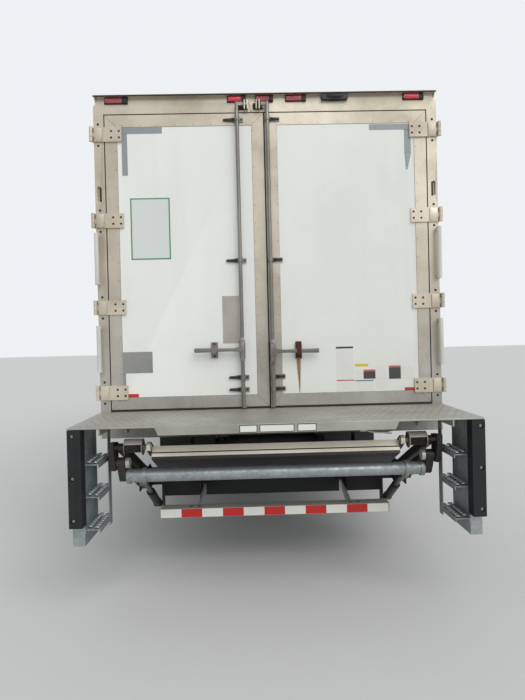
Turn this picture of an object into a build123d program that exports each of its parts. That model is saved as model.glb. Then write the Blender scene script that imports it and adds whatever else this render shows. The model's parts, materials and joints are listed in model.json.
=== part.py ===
from build123d import *
import os
from math import radians, degrees, sin, cos, asin, atan2, hypot, sqrt

# Refrigerated box truck, in millimetres. +Y is forward, +X is to the truck's right, the ground is z = 0.
# Stations are distances forward of the body's rear face.

# Overall sizes
tyre_radius = 466
tyre_width = 255
tyre_shoulder = 32
rim_radius = 292
body_width = 2590
body_length = 7315
floor_top = 1220
body_top = 3587
cab_gap = 150
cab_length = 1300
hood_length = 1335
bumper_proud = 100
plate_depth = 740
rear_axle_station = 2715
axle_ahead = 350

# Clearances
door_gap = 8
moving_gap = 6
seat_gap = 0.3
running_gap = 0.08

# Box body
side_wall = 76
front_wall = 100
roof_thickness = 90
floor_thickness = 125
cross_member_height = 75
cross_member_width = 55
cross_member_pitch = 406
first_member_station = 300
sill_height = 65
sill_width = 76
rail_proud = 6
top_rail_height = 130
bottom_rail_height = 150

# Rear frame and doors
post_width = 75
post_depth = 120
header_height = 130
visor_height = 8
visor_depth = 34
post_top = 3533
post_corner = 26
header_inset = 15
gusset_drop = 34
gusset_thickness = 6
threshold_drop = 15
door_thickness = 78
seam_x = -15
seam_gap = 10
door_edge = 90
door_panel_step = 3
hinge_height = 109
hinge_reach = 225
hinge_plate = 10
hinge_pin_out = 15
hinge_pin_back = 20
hinge_pin_radius = 8
hinge_barrel_radius = 13
hinge_heights = (1364, 2006, 2658, 3303)
lock_rod_radius = 14
lock_rod_proud = 34

# Chassis frame
frame_width = 864
rail_height = 254
rail_flange = 76
rail_web = 8
rail_rear = 470
rail_setback = 140
frame_member_pitch = 1360
frame_member_count = 6
frame_member_setback = 2260

# Axles, springs and wheels
rim_width = 228
dual_spacing = 330
rear_track = 1828
front_track = 2050
kingpin_inset = 155
disc_thickness = 14
hub_radius = 120
spindle_radius = 42
leaf_thickness = 14
leaf_width = 76
arch_radius = 600

# Cab
cab_width = 2180
cab_floor = 1000
cab_belt = 1740
cab_roof = 2640
cab_wall = 50
door_front_inset = 220
door_rear_inset = 175
glass_thickness = 6

# Hood
hood_rear_width = 2300
hood_front_width = 2120
hood_shell = 20
hood_bottom = 820
hood_pivot_ahead = 20
hood_pivot_height = 835
hood_pin_radius = 10

# Tail lift
main_pivot = (280, 600)
arm_pivot = (-450, 930)
platform_pivot = (-500, 1045)
upper_pivot_rise = 104
platform_length = 610
platform_half_width = 827
platform_leaf = 42

# Places worked out from the sizes above
cab_back = body_length + cab_gap
cab_front = cab_back + cab_length
hood_front = cab_front + hood_length
front_end = hood_front + bumper_proud
rail_front = hood_front - rail_setback
hood_pivot_station = hood_front + hood_pivot_ahead
door_hinge_station = cab_front - door_front_inset
cab_door_rear_station = cab_back + door_rear_inset
front_axle_station = cab_front + axle_ahead
kingpin_track = front_track - 2 * kingpin_inset
mid_station = (front_end - plate_depth) / 2
axle_height = tyre_radius
half_width = body_width / 2
post_inner = half_width - post_width
floor_bottom = floor_top - floor_thickness
frame_top = floor_bottom - cross_member_height - sill_height
frame_bottom = frame_top - rail_height
header_bottom = body_top - header_height
door_bottom = floor_top + threshold_drop
door_top = header_bottom - door_gap
hinge_pin_x = half_width + hinge_pin_out
hinge_pin_station = -hinge_pin_back

os.makedirs("parts", exist_ok=True)


def at(station):
    return station - mid_station


def block(x, y, z, mode=Mode.ADD):
    # A straight block that spans the pairs x, y and z
    with Locations(((x[0] + x[1]) / 2, (y[0] + y[1]) / 2, (z[0] + z[1]) / 2)):
        Box(x[1] - x[0], y[1] - y[0], z[1] - z[0], mode=mode)


def side_form(x, points, mode=Mode.ADD):
    # A side outline of (y, z) points, run across the truck from x[0] to x[1]
    with BuildSketch(Plane.YZ.offset(x[0])) as outline:
        with BuildLine():
            Polyline(*points, close=True)
        make_face()
    extrude(outline.sketch, amount=x[1] - x[0], mode=mode)


def long_form(y, points, mode=Mode.ADD):
    # A section of (x, z) points, run along the truck from y[0] to y[1]
    with BuildSketch(Plane.XZ.offset(-y[1])) as section:
        with BuildLine():
            Polyline(*points, close=True)
        make_face()
    extrude(section.sketch, amount=y[1] - y[0], mode=mode)


def plan_form(z, points, mode=Mode.ADD):
    # A plan outline of (x, y) points, run up from z[0] to z[1]
    with BuildSketch(Plane.XY.offset(z[0])) as plan:
        with BuildLine():
            Polyline(*points, close=True)
        make_face()
    extrude(plan.sketch, amount=z[1] - z[0], mode=mode)


def bar_x(x, y, z, radius, mode=Mode.ADD):
    with Locations(((x[0] + x[1]) / 2, y, z)):
        Cylinder(radius, x[1] - x[0], rotation=(0, 90, 0), mode=mode)


def bar_y(x, y, z, radius, mode=Mode.ADD):
    with Locations((x, (y[0] + y[1]) / 2, z)):
        Cylinder(radius, y[1] - y[0], rotation=(90, 0, 0), mode=mode)


def bar_z(x, y, z, radius, mode=Mode.ADD):
    with Locations((x, y, (z[0] + z[1]) / 2)):
        Cylinder(radius, z[1] - z[0], mode=mode)


def span(side, near, far):
    # The x pair between two distances from the centre line, on side -1 (left) or 1 (right)
    return (min(side * near, side * far), max(side * near, side * far))


def link(x, start, end, half_depth, mode=Mode.ADD):
    # A straight arm with round ends, between two (y, z) centres, as wide as the pair x
    length = hypot(end[0] - start[0], end[1] - start[1])
    angle = degrees(atan2(end[1] - start[1], end[0] - start[0]))
    middle = ((start[0] + end[0]) / 2, (start[1] + end[1]) / 2)
    with BuildSketch(Plane.YZ.offset(x[0])) as outline:
        with Locations(middle):
            SlotCenterToCenter(length, half_depth * 2, rotation=angle)
    extrude(outline.sketch, amount=x[1] - x[0], mode=mode)


def save(piece, name):
    piece.part.label = name
    export_step(piece.part, "parts/" + name + ".step")


sides = ((-1, "left"), (1, "right"))

# Chassis frame: two channel rails with tubes across between them, and a tow eye under each rail's front end
rail_outer = frame_width / 2
rail_inner = rail_outer - rail_flange
web_inside = rail_outer - rail_web
tow_eye_bore = 42
tow_eye_thickness = 30
tow_eye_half = 45
bumper_bottom = 470
tow_eye_height = bumper_bottom - tow_eye_half - 10
frame_member_radius = 60
frame_member_stations = []
for index in range(frame_member_count):
    frame_member_stations.append(rail_front - frame_member_setback - index * frame_member_pitch)
with BuildPart() as frame_rails:
    for side, name in sides:
        channel = (
            (side * rail_outer, frame_bottom),
            (side * rail_outer, frame_top),
            (side * rail_inner, frame_top),
            (side * rail_inner, frame_top - rail_web),
            (side * web_inside, frame_top - rail_web),
            (side * web_inside, frame_bottom + rail_web),
            (side * rail_inner, frame_bottom + rail_web),
            (side * rail_inner, frame_bottom),
        )
        long_form((at(rail_rear), at(rail_front)), channel)
        x = span(side, web_inside - tow_eye_thickness, web_inside)
        tip = (at(front_end - tow_eye_half), tow_eye_height)
        side_form(x, (
            (at(rail_front - 130), frame_bottom + 60),
            (at(rail_front - 130), frame_bottom - 60),
            (at(rail_front - 60), tow_eye_height - tow_eye_half),
            (tip[0], tip[1] - tow_eye_half),
            (tip[0], tip[1] + tow_eye_half),
            (at(rail_front), tow_eye_height + tow_eye_half),
            (at(rail_front), frame_bottom + 60),
        ))
        bar_x(x, tip[0], tip[1], tow_eye_half)
        bar_x((x[0] - 1, x[1] + 1), tip[0], tip[1], tow_eye_bore / 2, mode=Mode.SUBTRACT)
    for station in frame_member_stations:
        bar_x((-web_inside, web_inside), at(station), frame_top - rail_height / 2, frame_member_radius)
    block((-web_inside, web_inside), (at(rail_front - 110), at(rail_front)), (frame_bottom, frame_bottom + 90))
save(frame_rails, "frame_rails")


def leaf_pack(x, station, seat, half_length, rise, leaves):
    # Leaf spring: concentric arcs, each leaf shorter than the one above it
    radius = (half_length ** 2 + rise ** 2) / (2 * rise)
    center = seat + leaves * leaf_thickness + radius
    for leaf in range(leaves):
        inner = radius + leaf * leaf_thickness
        outer = inner + leaf_thickness
        reach = half_length * (1 - 0.2 * leaf)
        turn = asin(reach / outer)
        corners = []
        for r, a in ((inner, -turn), (inner, 0), (inner, turn), (outer, turn), (outer, 0), (outer, -turn)):
            corners.append((at(station) + r * sin(a), center - r * cos(a)))
        with BuildSketch(Plane.YZ.offset(x - leaf_width / 2)) as outline:
            with BuildLine():
                ThreePointArc(corners[0], corners[1], corners[2])
                Line(corners[2], corners[3])
                ThreePointArc(corners[3], corners[4], corners[5])
                Line(corners[5], corners[0])
            make_face()
        extrude(outline.sketch, amount=leaf_width)
    return center - sqrt(radius ** 2 - half_length ** 2)


# Springs: four leaves in a clamp, with an eye and a hanger at each end
front_beam_top = axle_height - 45
spring_leaves = 4
spring_eye = 26
clamp_half = 70
clamp_over = 22
hanger_half = 60


def spring_pair(spring_x, station, seat, half_length, rise, top):
    # A pair of leaf springs with their clamps and hangers
    for side, side_name in sides:
        eye_height = leaf_pack(side * spring_x, station, seat, half_length, rise, spring_leaves)
        x = span(side, spring_x - leaf_width / 2, spring_x + leaf_width / 2)
        for end in (-1, 1):
            eye_y = at(station + end * half_length)
            bar_x(x, eye_y, eye_height, spring_eye)
            side_form(x, (
                (eye_y - spring_eye, eye_height), (eye_y + spring_eye, eye_height),
                (eye_y + hanger_half, top), (eye_y - hanger_half, top),
            ))
        clamp_z = (seat - 8, seat + spring_leaves * leaf_thickness + clamp_over)
        block(x, (at(station) - clamp_half, at(station) + clamp_half), clamp_z)


# Front axle: a dropped beam with an eye for each kingpin
kingpin_x = kingpin_track / 2
beam_half = 45
kingpin_radius = 22
kingpin_half = 130
eye_half = 62
front_spring_half = 640
front_spring_rise = 110
with BuildPart() as front_axle:
    beam = (
        (-kingpin_x, axle_height - 40), (-kingpin_x, axle_height + 50), (-kingpin_x + 60, axle_height + 50),
        (-kingpin_x + 200, front_beam_top), (kingpin_x - 200, front_beam_top),
        (kingpin_x - 60, axle_height + 50), (kingpin_x, axle_height + 50), (kingpin_x, axle_height - 40),
        (kingpin_x - 60, axle_height - 40), (kingpin_x - 200, front_beam_top - 100),
        (-kingpin_x + 200, front_beam_top - 100), (-kingpin_x + 60, axle_height - 40),
    )
    long_form((at(front_axle_station) - beam_half, at(front_axle_station) + beam_half), beam)
    for side, name in sides:
        bar_z(side * kingpin_x, at(front_axle_station), (axle_height - eye_half, axle_height + eye_half), beam_half)
        bar_z(
            side * kingpin_x, at(front_axle_station),
            (axle_height - kingpin_half, axle_height + kingpin_half), kingpin_radius,
        )
    spring_pair(
        rail_outer - leaf_width / 2, front_axle_station, front_beam_top,
        front_spring_half, front_spring_rise, frame_bottom - seat_gap,
    )
save(front_axle, "front_axle")

# Rear axle: a tube with the final drive in the middle and a spindle at each end
rear_outer_x = rear_track / 2 + dual_spacing / 2
rear_inner_x = rear_track / 2 - dual_spacing / 2
rear_spindle_end = rear_track / 2 + 120
axle_tube_radius = 72
rear_spring_x = rail_outer + 10 + leaf_width / 2
rear_hanger_top = frame_bottom + 150
rear_spring_half = 700
rear_spring_rise = 70
final_drive_radius = 210
pinion_length = 330
pinion_radius = 105
with BuildPart() as rear_axle:
    bar_x((-rear_inner_x + 60, rear_inner_x - 60), at(rear_axle_station), axle_height, axle_tube_radius)
    bar_x((-rear_spindle_end, rear_spindle_end), at(rear_axle_station), axle_height, spindle_radius)
    with Locations((0, at(rear_axle_station), axle_height)):
        Sphere(final_drive_radius)
    bar_y(0, (at(rear_axle_station), at(rear_axle_station + pinion_length)), axle_height, pinion_radius)
    spring_pair(
        rear_spring_x, rear_axle_station, axle_height + axle_tube_radius,
        rear_spring_half, rear_spring_rise, rear_hanger_top,
    )
    for side, name in sides:
        for end in (-1, 1):
            middle = at(rear_axle_station + end * rear_spring_half)
            block(
                span(side, rail_outer + seat_gap, rear_spring_x), (middle - hanger_half, middle + hanger_half),
                (frame_bottom + 30, rear_hanger_top),
            )
save(rear_axle, "rear_axle")

# Propeller shaft in two lengths, with a flange at each end and a centre bearing under a frame member
engine_rear_station = cab_back + 415
engine_shaft_height = 700
shaft_bearing_station = frame_member_stations[2]
shaft_bearing_height = frame_bottom - 60
shaft_radius = 48
flange_radius = 62
flange_thickness = 24
bearing_radius = 80
bearing_half = 60
bearing_bracket_half = (40, 30)
shaft_rows = (
    (rear_axle_station + pinion_length + seat_gap, axle_height, shaft_bearing_station, shaft_bearing_height),
    (shaft_bearing_station, shaft_bearing_height, engine_rear_station - seat_gap, engine_shaft_height),
)
with BuildPart() as propeller_shaft:
    for low_station, low_height, high_station, high_height in shaft_rows:
        start = Vector(0, at(low_station) + flange_thickness / 2, low_height)
        end = Vector(0, at(high_station) - flange_thickness / 2, high_height)
        run = end - start
        with BuildSketch(Plane(origin=start, z_dir=run)) as ring:
            Circle(shaft_radius)
        extrude(ring.sketch, amount=run.length)
        bar_y(0, (at(low_station), at(low_station) + flange_thickness), low_height, flange_radius)
        bar_y(0, (at(high_station) - flange_thickness, at(high_station)), high_height, flange_radius)
    bearing_y = at(shaft_bearing_station)
    bar_y(0, (bearing_y - bearing_half, bearing_y + bearing_half), shaft_bearing_height, bearing_radius)
    block(
        (-bearing_bracket_half[0], bearing_bracket_half[0]),
        (bearing_y - bearing_bracket_half[1], bearing_y + bearing_bracket_half[1]),
        (shaft_bearing_height, frame_top - rail_height / 2 - frame_member_radius - seat_gap),
    )
save(propeller_shaft, "propeller_shaft")

# Engine and gearbox as one plain block, and the radiator ahead of it between the rails
engine_half = rail_inner - 56
engine_stations = (cab_front + 35, cab_front + 855)
engine_z = (620, 1400)
gearbox_half = 230
gearbox_z = (640, 950)
engine_mount = (cab_front + 235, cab_front + 345)
engine_mount_z = (780, 880)
radiator_stations = (hood_front - 380, hood_front - 300)
radiator_low = frame_bottom + 90
radiator_high = 1440
radiator_foot = 60
with BuildPart() as engine_block:
    block((-engine_half, engine_half), (at(engine_stations[0]), at(engine_stations[1])), engine_z)
    block((-gearbox_half, gearbox_half), (at(engine_rear_station), at(engine_stations[0])), gearbox_z)
    for side, name in sides:
        block(span(side, engine_half - 10, web_inside), (at(engine_mount[0]), at(engine_mount[1])), engine_mount_z)
    block(
        (-rail_inner + moving_gap, rail_inner - moving_gap),
        (at(radiator_stations[0]), at(radiator_stations[1])), (radiator_low, radiator_high),
    )
    block(
        (-web_inside, web_inside),
        (at(radiator_stations[0] + 10), at(radiator_stations[1] - 10)), (radiator_low, radiator_low + radiator_foot),
    )
save(engine_block, "engine_block")

front_spindle_end = front_track / 2 + 90

# Steering knuckles: a fork over each axle eye, with the spindle for the wheel
for side, name in sides:
    wheel_x = side * front_track / 2
    with BuildPart() as knuckle:
        lug_low = axle_height + eye_half + seat_gap
        for low, high in (
            (lug_low, axle_height + kingpin_half),
            (axle_height - kingpin_half, 2 * axle_height - lug_low),
        ):
            bar_z(side * kingpin_x, at(front_axle_station), (low, high), beam_half)
            block(
                span(side, kingpin_x, kingpin_x + beam_half + 30),
                (at(front_axle_station) - beam_half, at(front_axle_station) + beam_half), (low, high),
            )
        block(
            span(side, kingpin_x + beam_half + moving_gap, kingpin_x + beam_half + 30),
            (at(front_axle_station) - beam_half, at(front_axle_station) + beam_half),
            (axle_height - kingpin_half, axle_height + kingpin_half),
        )
        bar_x(
            span(side, kingpin_x + beam_half + 20, front_spindle_end),
            at(front_axle_station), axle_height, spindle_radius,
        )
        plan_form((axle_height - kingpin_half, axle_height - kingpin_half + 24), (
            (side * (kingpin_x + 30), at(front_axle_station) - 30),
            (side * (kingpin_x - 20), at(front_axle_station) - 200),
            (side * (kingpin_x - 80), at(front_axle_station) - 200),
            (side * (kingpin_x - 40), at(front_axle_station) + 10),
        ))
        bar_z(
            side * kingpin_x, at(front_axle_station), (axle_height - kingpin_half - 1, axle_height + kingpin_half + 1),
            kingpin_radius + running_gap, mode=Mode.SUBTRACT,
        )
    save(knuckle, "knuckle_" + name)

# Tie rod just under the two steering arms
tie_rod_top = axle_height - kingpin_half - seat_gap
with BuildPart() as tie_rod:
    bar_x((-kingpin_x + 50, kingpin_x - 50), at(front_axle_station) - 180, tie_rod_top - 18, 18)
    for side, name in sides:
        bar_z(side * (kingpin_x - 50), at(front_axle_station) - 180, (tie_rod_top - 40, tie_rod_top), 28)
save(tie_rod, "tie_rod")


bead_half = tyre_width / 2 - 26
bead_height = 18
bead_clearance = 2
flange_height = 14


def tyre_ring(x, y):
    # A tyre: revolved section with a flat tread, cut shoulders, bulged side walls and beads between the rim's flanges
    half = tyre_width / 2
    inner = rim_radius + bead_clearance
    bulge = (inner + tyre_radius) / 2
    with BuildSketch(Plane(origin=(x, y, axle_height), x_dir=(1, 0, 0), z_dir=(0, -1, 0))) as section:
        with BuildLine():
            Polyline(
                (-bead_half, inner), (bead_half, inner), (bead_half, inner + bead_height), (half, bulge),
                (half - tyre_shoulder / 3, tyre_radius - tyre_shoulder), (half - tyre_shoulder, tyre_radius),
                (-half + tyre_shoulder, tyre_radius), (-half + tyre_shoulder / 3, tyre_radius - tyre_shoulder),
                (-half, bulge), (-bead_half, inner + bead_height),
                close=True,
            )
        make_face()
    revolve(section.sketch, axis=Axis((x, y, axle_height), (1, 0, 0)))


def rim_ring(x, y, dish):
    # A disc wheel: a rim with a flange each side, and a disc whose face lies at dish from the rim's middle
    half = rim_width / 2
    flange = rim_radius + flange_height
    outward = 1 if dish > 0 else -1
    face = abs(dish)
    with BuildSketch(Plane(origin=(x, y, axle_height), x_dir=(outward, 0, 0), z_dir=(0, -outward, 0))) as section:
        with BuildLine():
            Polyline(
                (-half, flange), (-bead_half, flange), (-bead_half, rim_radius), (bead_half, rim_radius),
                (bead_half, flange), (half, flange), (half, rim_radius - 14), (half - 40, rim_radius - 16),
                (face + 20, rim_radius - 34), (face, hub_radius + 70), (face, spindle_radius + running_gap + 20),
                (face - disc_thickness, spindle_radius + running_gap + 20),
                (face - disc_thickness, hub_radius + 64), (face - 10, rim_radius - 46),
                (-half + 40, rim_radius - 30), (-half, rim_radius - 14),
                close=True,
            )
        make_face()
    revolve(section.sketch, axis=Axis((x, y, axle_height), (1, 0, 0)))
    with Locations(Plane(origin=(x + dish, y, axle_height), x_dir=(0, 1, 0), z_dir=(1, 0, 0))):
        with PolarLocations(hub_radius + 100, 5):
            Cylinder(24, 80, mode=Mode.SUBTRACT)


# Front wheels: rim, hub and drum on each knuckle's spindle
for side, name in sides:
    wheel_x = side * front_track / 2
    wheel_y = at(front_axle_station)
    front_dish = 60
    drum_near = kingpin_x + beam_half + 30 + moving_gap
    with BuildPart() as wheel:
        rim_ring(wheel_x, wheel_y, side * front_dish)
        disc_x = front_track / 2 + front_dish
        bar_x(span(side, drum_near + 20, disc_x + 60), wheel_y, axle_height, hub_radius - 30)
        bar_x(span(side, drum_near, disc_x - disc_thickness), wheel_y, axle_height, 200)
        bar_x(
            span(side, drum_near - 1, front_spindle_end + 2), wheel_y, axle_height,
            spindle_radius + running_gap, mode=Mode.SUBTRACT,
        )
        with Locations(Plane(origin=(side * disc_x, wheel_y, axle_height), x_dir=(0, 1, 0), z_dir=(1, 0, 0))):
            with PolarLocations(hub_radius + 22, 10):
                Cylinder(15, 50)
    save(wheel, "wheel_front_" + name)
    with BuildPart() as tyre:
        tyre_ring(wheel_x, wheel_y)
    save(tyre, "tyre_front_" + name)

# Rear wheels: two rims back to back on one hub
for side, name in sides:
    wheel_y = at(rear_axle_station)
    rear_dish = dual_spacing / 2
    middle_x = rear_track / 2
    with BuildPart() as wheel:
        rim_ring(side * rear_outer_x, wheel_y, -side * (rear_dish - 0.01))
        rim_ring(side * rear_inner_x, wheel_y, side * (rear_dish - 0.01))
        bar_x(span(side, middle_x - 130, middle_x + 160), wheel_y, axle_height, hub_radius - 10)
        bar_x(span(side, middle_x - 150, middle_x - 14), wheel_y, axle_height, 200)
        bar_x(
            span(side, middle_x - 151, middle_x + 130), wheel_y, axle_height,
            spindle_radius + running_gap, mode=Mode.SUBTRACT,
        )
        with Locations(Plane(origin=(side * middle_x, wheel_y, axle_height), x_dir=(0, 1, 0), z_dir=(1, 0, 0))):
            with PolarLocations(hub_radius + 22, 10):
                Cylinder(15, 70)
    save(wheel, "wheel_rear_" + name)
    with BuildPart() as tyre:
        tyre_ring(side * rear_outer_x, wheel_y)
        tyre_ring(side * rear_inner_x, wheel_y)
    save(tyre, "tyre_rear_" + name)

# Box floor, with cross members and the two long sills that rest on the frame
with BuildPart() as box_floor:
    floor_half = half_width - side_wall
    block((-floor_half, floor_half), (at(post_depth), at(body_length - front_wall)), (floor_bottom, floor_top))
    member_count = int((body_length - 400) / cross_member_pitch)
    member_z = (floor_bottom - cross_member_height, floor_bottom)
    for index in range(member_count):
        station = first_member_station + index * cross_member_pitch
        block(
            (-half_width + 40, half_width - 40),
            (at(station), at(station + cross_member_width)), member_z,
        )
    for side, name in sides:
        block(
            span(side, rail_outer - sill_width, rail_outer),
            (at(300), at(body_length - 60)), (frame_top, frame_top + sill_height),
        )
        block(
            span(side, rail_outer - sill_width, rail_outer),
            (at(300), at(body_length - 60)), (frame_top + sill_height - 1, floor_bottom - cross_member_height + 1),
        )
save(box_floor, "box_floor")

# Side walls, with a rail proud of the skin at the top and bottom
skin_x = half_width - rail_proud
for side, name in sides:
    with BuildPart() as wall:
        inner_x = half_width - side_wall
        section = (
            (side * inner_x, floor_bottom), (side * half_width, floor_bottom),
            (side * half_width, floor_bottom + bottom_rail_height),
            (side * skin_x, floor_bottom + bottom_rail_height + 8),
            (side * skin_x, body_top - top_rail_height - 8), (side * half_width, body_top - top_rail_height),
            (side * half_width, body_top - 40), (side * (half_width - 40), body_top),
            (side * inner_x, body_top),
        )
        long_form((at(post_depth), at(body_length - front_wall)), section)
    save(wall, "box_wall_" + name)

with BuildPart() as box_roof:
    block(
        (-half_width + side_wall, half_width - side_wall),
        (at(post_depth), at(body_length - front_wall)), (body_top - roof_thickness, body_top),
    )
save(box_roof, "box_roof")

# Front wall, with rounded front corners
nose_radius = 70
with BuildPart() as box_front_wall:
    block((-half_width, half_width), (at(body_length - front_wall), at(body_length)), (floor_bottom, body_top))
    nose_edges = box_front_wall.edges().filter_by(Axis.Z).group_by(Axis.Y)[-1]
    fillet(nose_edges, radius=nose_radius)
    fillet(box_front_wall.edges().group_by(Axis.Z)[-1].group_by(Axis.Y)[-1], radius=nose_radius / 2)
save(box_front_wall, "box_front_wall")

# Lock bars: rod, guides, cam ends and handle on each door; columns: side, rod x, handle far x, handle height
lock_rows = (
    (-1, "left", seam_x - 202, -578, 1668),
    (1, "right", seam_x + seam_gap / 2 + lock_rod_radius + 6, 357, 1648),
)
cam_reach = 46
low_cam_reach = 22
cam_height = 26

# Rear frame: two posts with rounded tops, a header between them with its visor, and the threshold,
# with the fixed halves of the hinges and the keepers for the lock bars
hinge_third = (hinge_height - 4) / 3
header_half = half_width - header_inset
slot_length = 111
slot_width = 25
slot_height = 2862
slot_depth = 20
keeper_plate = 8
keeper_low = header_bottom + 8
keeper_high = header_bottom + 74
fork_x = seam_x - 94
fork_half = 20
with BuildPart() as rear_frame:
    for side, name in sides:
        block(span(side, post_inner, half_width), (at(0), at(post_depth)), (floor_bottom, post_top))
    post_edges = rear_frame.edges().filter_by(Axis.Y).group_by(Axis.Z)[-1].sort_by(Axis.X)
    fillet((post_edges[0], post_edges[-1]), radius=post_corner)
    block((-header_half, header_half), (at(0), at(post_depth)), (header_bottom, body_top))
    block((-header_half, header_half), (at(-visor_depth), at(0)), (body_top - visor_height, body_top))
    block((-half_width, half_width), (at(0), at(post_depth)), (floor_bottom - cross_member_height, floor_top))
    for side, name in sides:
        side_form(span(side, header_half - gusset_thickness, header_half), (
            (at(0), body_top - visor_height + 1), (at(-visor_depth), body_top - visor_height + 1),
            (at(-visor_depth), body_top - visor_height), (at(0), body_top - visor_height - gusset_drop),
        ))
        with BuildSketch(Plane.XZ.offset(-at(0))) as slot:
            with Locations((side * (half_width - header_inset * 2), slot_height)):
                SlotOverall(slot_length, slot_width, rotation=90)
        extrude(slot.sketch, amount=-slot_depth, mode=Mode.SUBTRACT)
        for middle in hinge_heights:
            for low in (middle - hinge_height / 2, middle + hinge_height / 2 - hinge_third):
                z = (low, low + hinge_third)
                bar_z(side * hinge_pin_x, at(hinge_pin_station), z, hinge_barrel_radius)
                plan_form(z, (
                    (side * half_width, at(70)), (side * (half_width + 8), at(70)),
                    (side * (half_width + 8), at(-10)), (side * (hinge_pin_x + 6), at(hinge_pin_station)),
                    (side * (hinge_pin_x - 9), at(hinge_pin_station)), (side * half_width, at(0)),
                ))
            bar_z(
                side * hinge_pin_x, at(hinge_pin_station),
                (middle - hinge_height / 2, middle + hinge_height / 2), hinge_pin_radius,
            )
    for side, name, rod_x, handle_x, handle_z in lock_rows:
        cam_x = rod_x - side * cam_reach
        for near in (keeper_plate, keeper_plate + 22):
            low = min(cam_x - side * near, cam_x - side * (near + keeper_plate))
            block((low, low + keeper_plate), (at(-lock_rod_proud - 14), at(0)), (keeper_low, keeper_high))
    long_form((at(-keeper_plate), at(0)), (
        (fork_x - 6, keeper_low), (fork_x + 6, keeper_low), (fork_x + 6, keeper_high - 32),
        (fork_x + fork_half, keeper_high), (fork_x + fork_half - 12, keeper_high), (fork_x, keeper_high - 20),
        (fork_x - fork_half + 12, keeper_high), (fork_x - fork_half, keeper_high), (fork_x - 6, keeper_high - 32),
    ))
save(rear_frame, "rear_frame")

# Rear doors: an insulated leaf with an aluminium edge frame, and the leaf halves of the hinges
leaf_x = {-1: seam_x - seam_gap / 2, 1: seam_x + seam_gap / 2}
for side, name in sides:
    outer_x = side * (post_inner - door_gap)
    near_x = leaf_x[side]
    x = (min(outer_x, near_x), max(outer_x, near_x))
    with BuildPart() as door:
        block(x, (at(0), at(door_thickness)), (door_bottom, door_top))
        block(
            (x[0] + door_edge, x[1] - door_edge), (at(0), at(door_panel_step)),
            (door_bottom + door_edge, door_top - door_edge), mode=Mode.SUBTRACT,
        )
        for middle in hinge_heights:
            strap_z = (middle - hinge_height / 2, middle + hinge_height / 2)
            barrel_z = (middle - hinge_third / 2, middle + hinge_third / 2)
            strap_end = hinge_pin_x - hinge_reach
            strap_near = half_width - 5
            block(span(side, strap_end, strap_near), (at(-2 - hinge_plate), at(-2)), strap_z)
            block(
                span(side, strap_end, post_inner - door_gap), (at(-2), at(door_panel_step)), strap_z,
            )
            block(span(side, strap_near - 1, hinge_pin_x), (at(-2 - hinge_plate), at(-2)), barrel_z)
            bar_z(side * hinge_pin_x, at(hinge_pin_station), barrel_z, hinge_barrel_radius)
            bar_z(
                side * hinge_pin_x, at(hinge_pin_station), (middle - hinge_height, middle + hinge_height),
                hinge_pin_radius + running_gap, mode=Mode.SUBTRACT,
            )
    save(door, "door_" + name)

# Lock bar parts
guide_heights = (1366, 1458, 2340, 3398)
guide_half = 46
panel_low = door_bottom + door_edge
panel_high = door_top - door_edge


def door_face(x, height):
    # Where the face of a rear door lies: the panels are a step behind the edge frames
    inside = abs(x - seam_x) > seam_gap / 2 + door_edge and panel_low < height < panel_high
    return at(door_panel_step if inside else 0)


lock_low = door_bottom - 6
lock_high = header_bottom + 60
guide_length = 34
saddle_wall = 5
handle_depth = 12
handle_half = 15
handle_hub = 40
catch_inset = 150
catch_half = 25
catch_height = 120
for side, name, rod_x, handle_x, handle_z in lock_rows:
    with BuildPart() as lock:
        rod_y = at(-lock_rod_proud)
        rod_back = rod_y - lock_rod_radius
        bar_z(rod_x, rod_y, (lock_low, lock_high), lock_rod_radius)
        for height in guide_heights:
            z = (height - guide_length / 2, height + guide_length / 2)
            face = door_face(rod_x, height)
            if side > 0:
                foot = (rod_x - lock_rod_radius, rod_x + 2 * guide_half)
            else:
                foot = (rod_x - guide_half, rod_x + guide_half)
            block(foot, (at(-8), face), z)
            saddle = lock_rod_radius + saddle_wall
            block((rod_x - saddle, rod_x + saddle), (rod_y, face), z)
            bar_z(rod_x, rod_y, z, saddle)
        face = door_face(rod_x, handle_z)
        bar_z(rod_x, rod_y, (handle_z - handle_hub, handle_z + handle_hub), lock_rod_radius + 8)
        block((rod_x - 20, rod_x + 20), (at(-16), face), (handle_z - 70, handle_z + 70))
        long_form((rod_back - handle_depth + 2, rod_back + 2), (
            (rod_x, handle_z - handle_half - 6), (rod_x + side * 70, handle_z - handle_half + 3),
            (handle_x - side * 60, handle_z - handle_half + 3), (handle_x - side * 8, handle_z - handle_half),
            (handle_x, handle_z - handle_half + 8), (handle_x, handle_z + handle_half - 8),
            (handle_x - side * 8, handle_z + handle_half), (handle_x - side * 60, handle_z + handle_half - 3),
            (rod_x + side * 70, handle_z + handle_half - 3), (rod_x, handle_z + handle_half + 6),
        ))
        catch_x = handle_x - side * catch_inset
        face = door_face(catch_x, handle_z)
        catch = (catch_x - catch_half, catch_x + catch_half)
        block(catch, (at(-8), face), (handle_z - catch_height / 2, handle_z + catch_height / 2))
        block(
            (catch_x - 16, catch_x + 16), (rod_back - handle_depth - 4, face),
            (handle_z - handle_half - 12, handle_z + handle_half + 12),
        )
        for end_z, reach in ((lock_high - cam_height, cam_reach), (lock_low, low_cam_reach)):
            cam = (rod_x, rod_x - side * reach)
            block((min(cam), max(cam)), (rod_y - 9, rod_y + 9), (end_z, end_z + cam_height))
    save(lock, "lock_bar_" + name)

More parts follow.
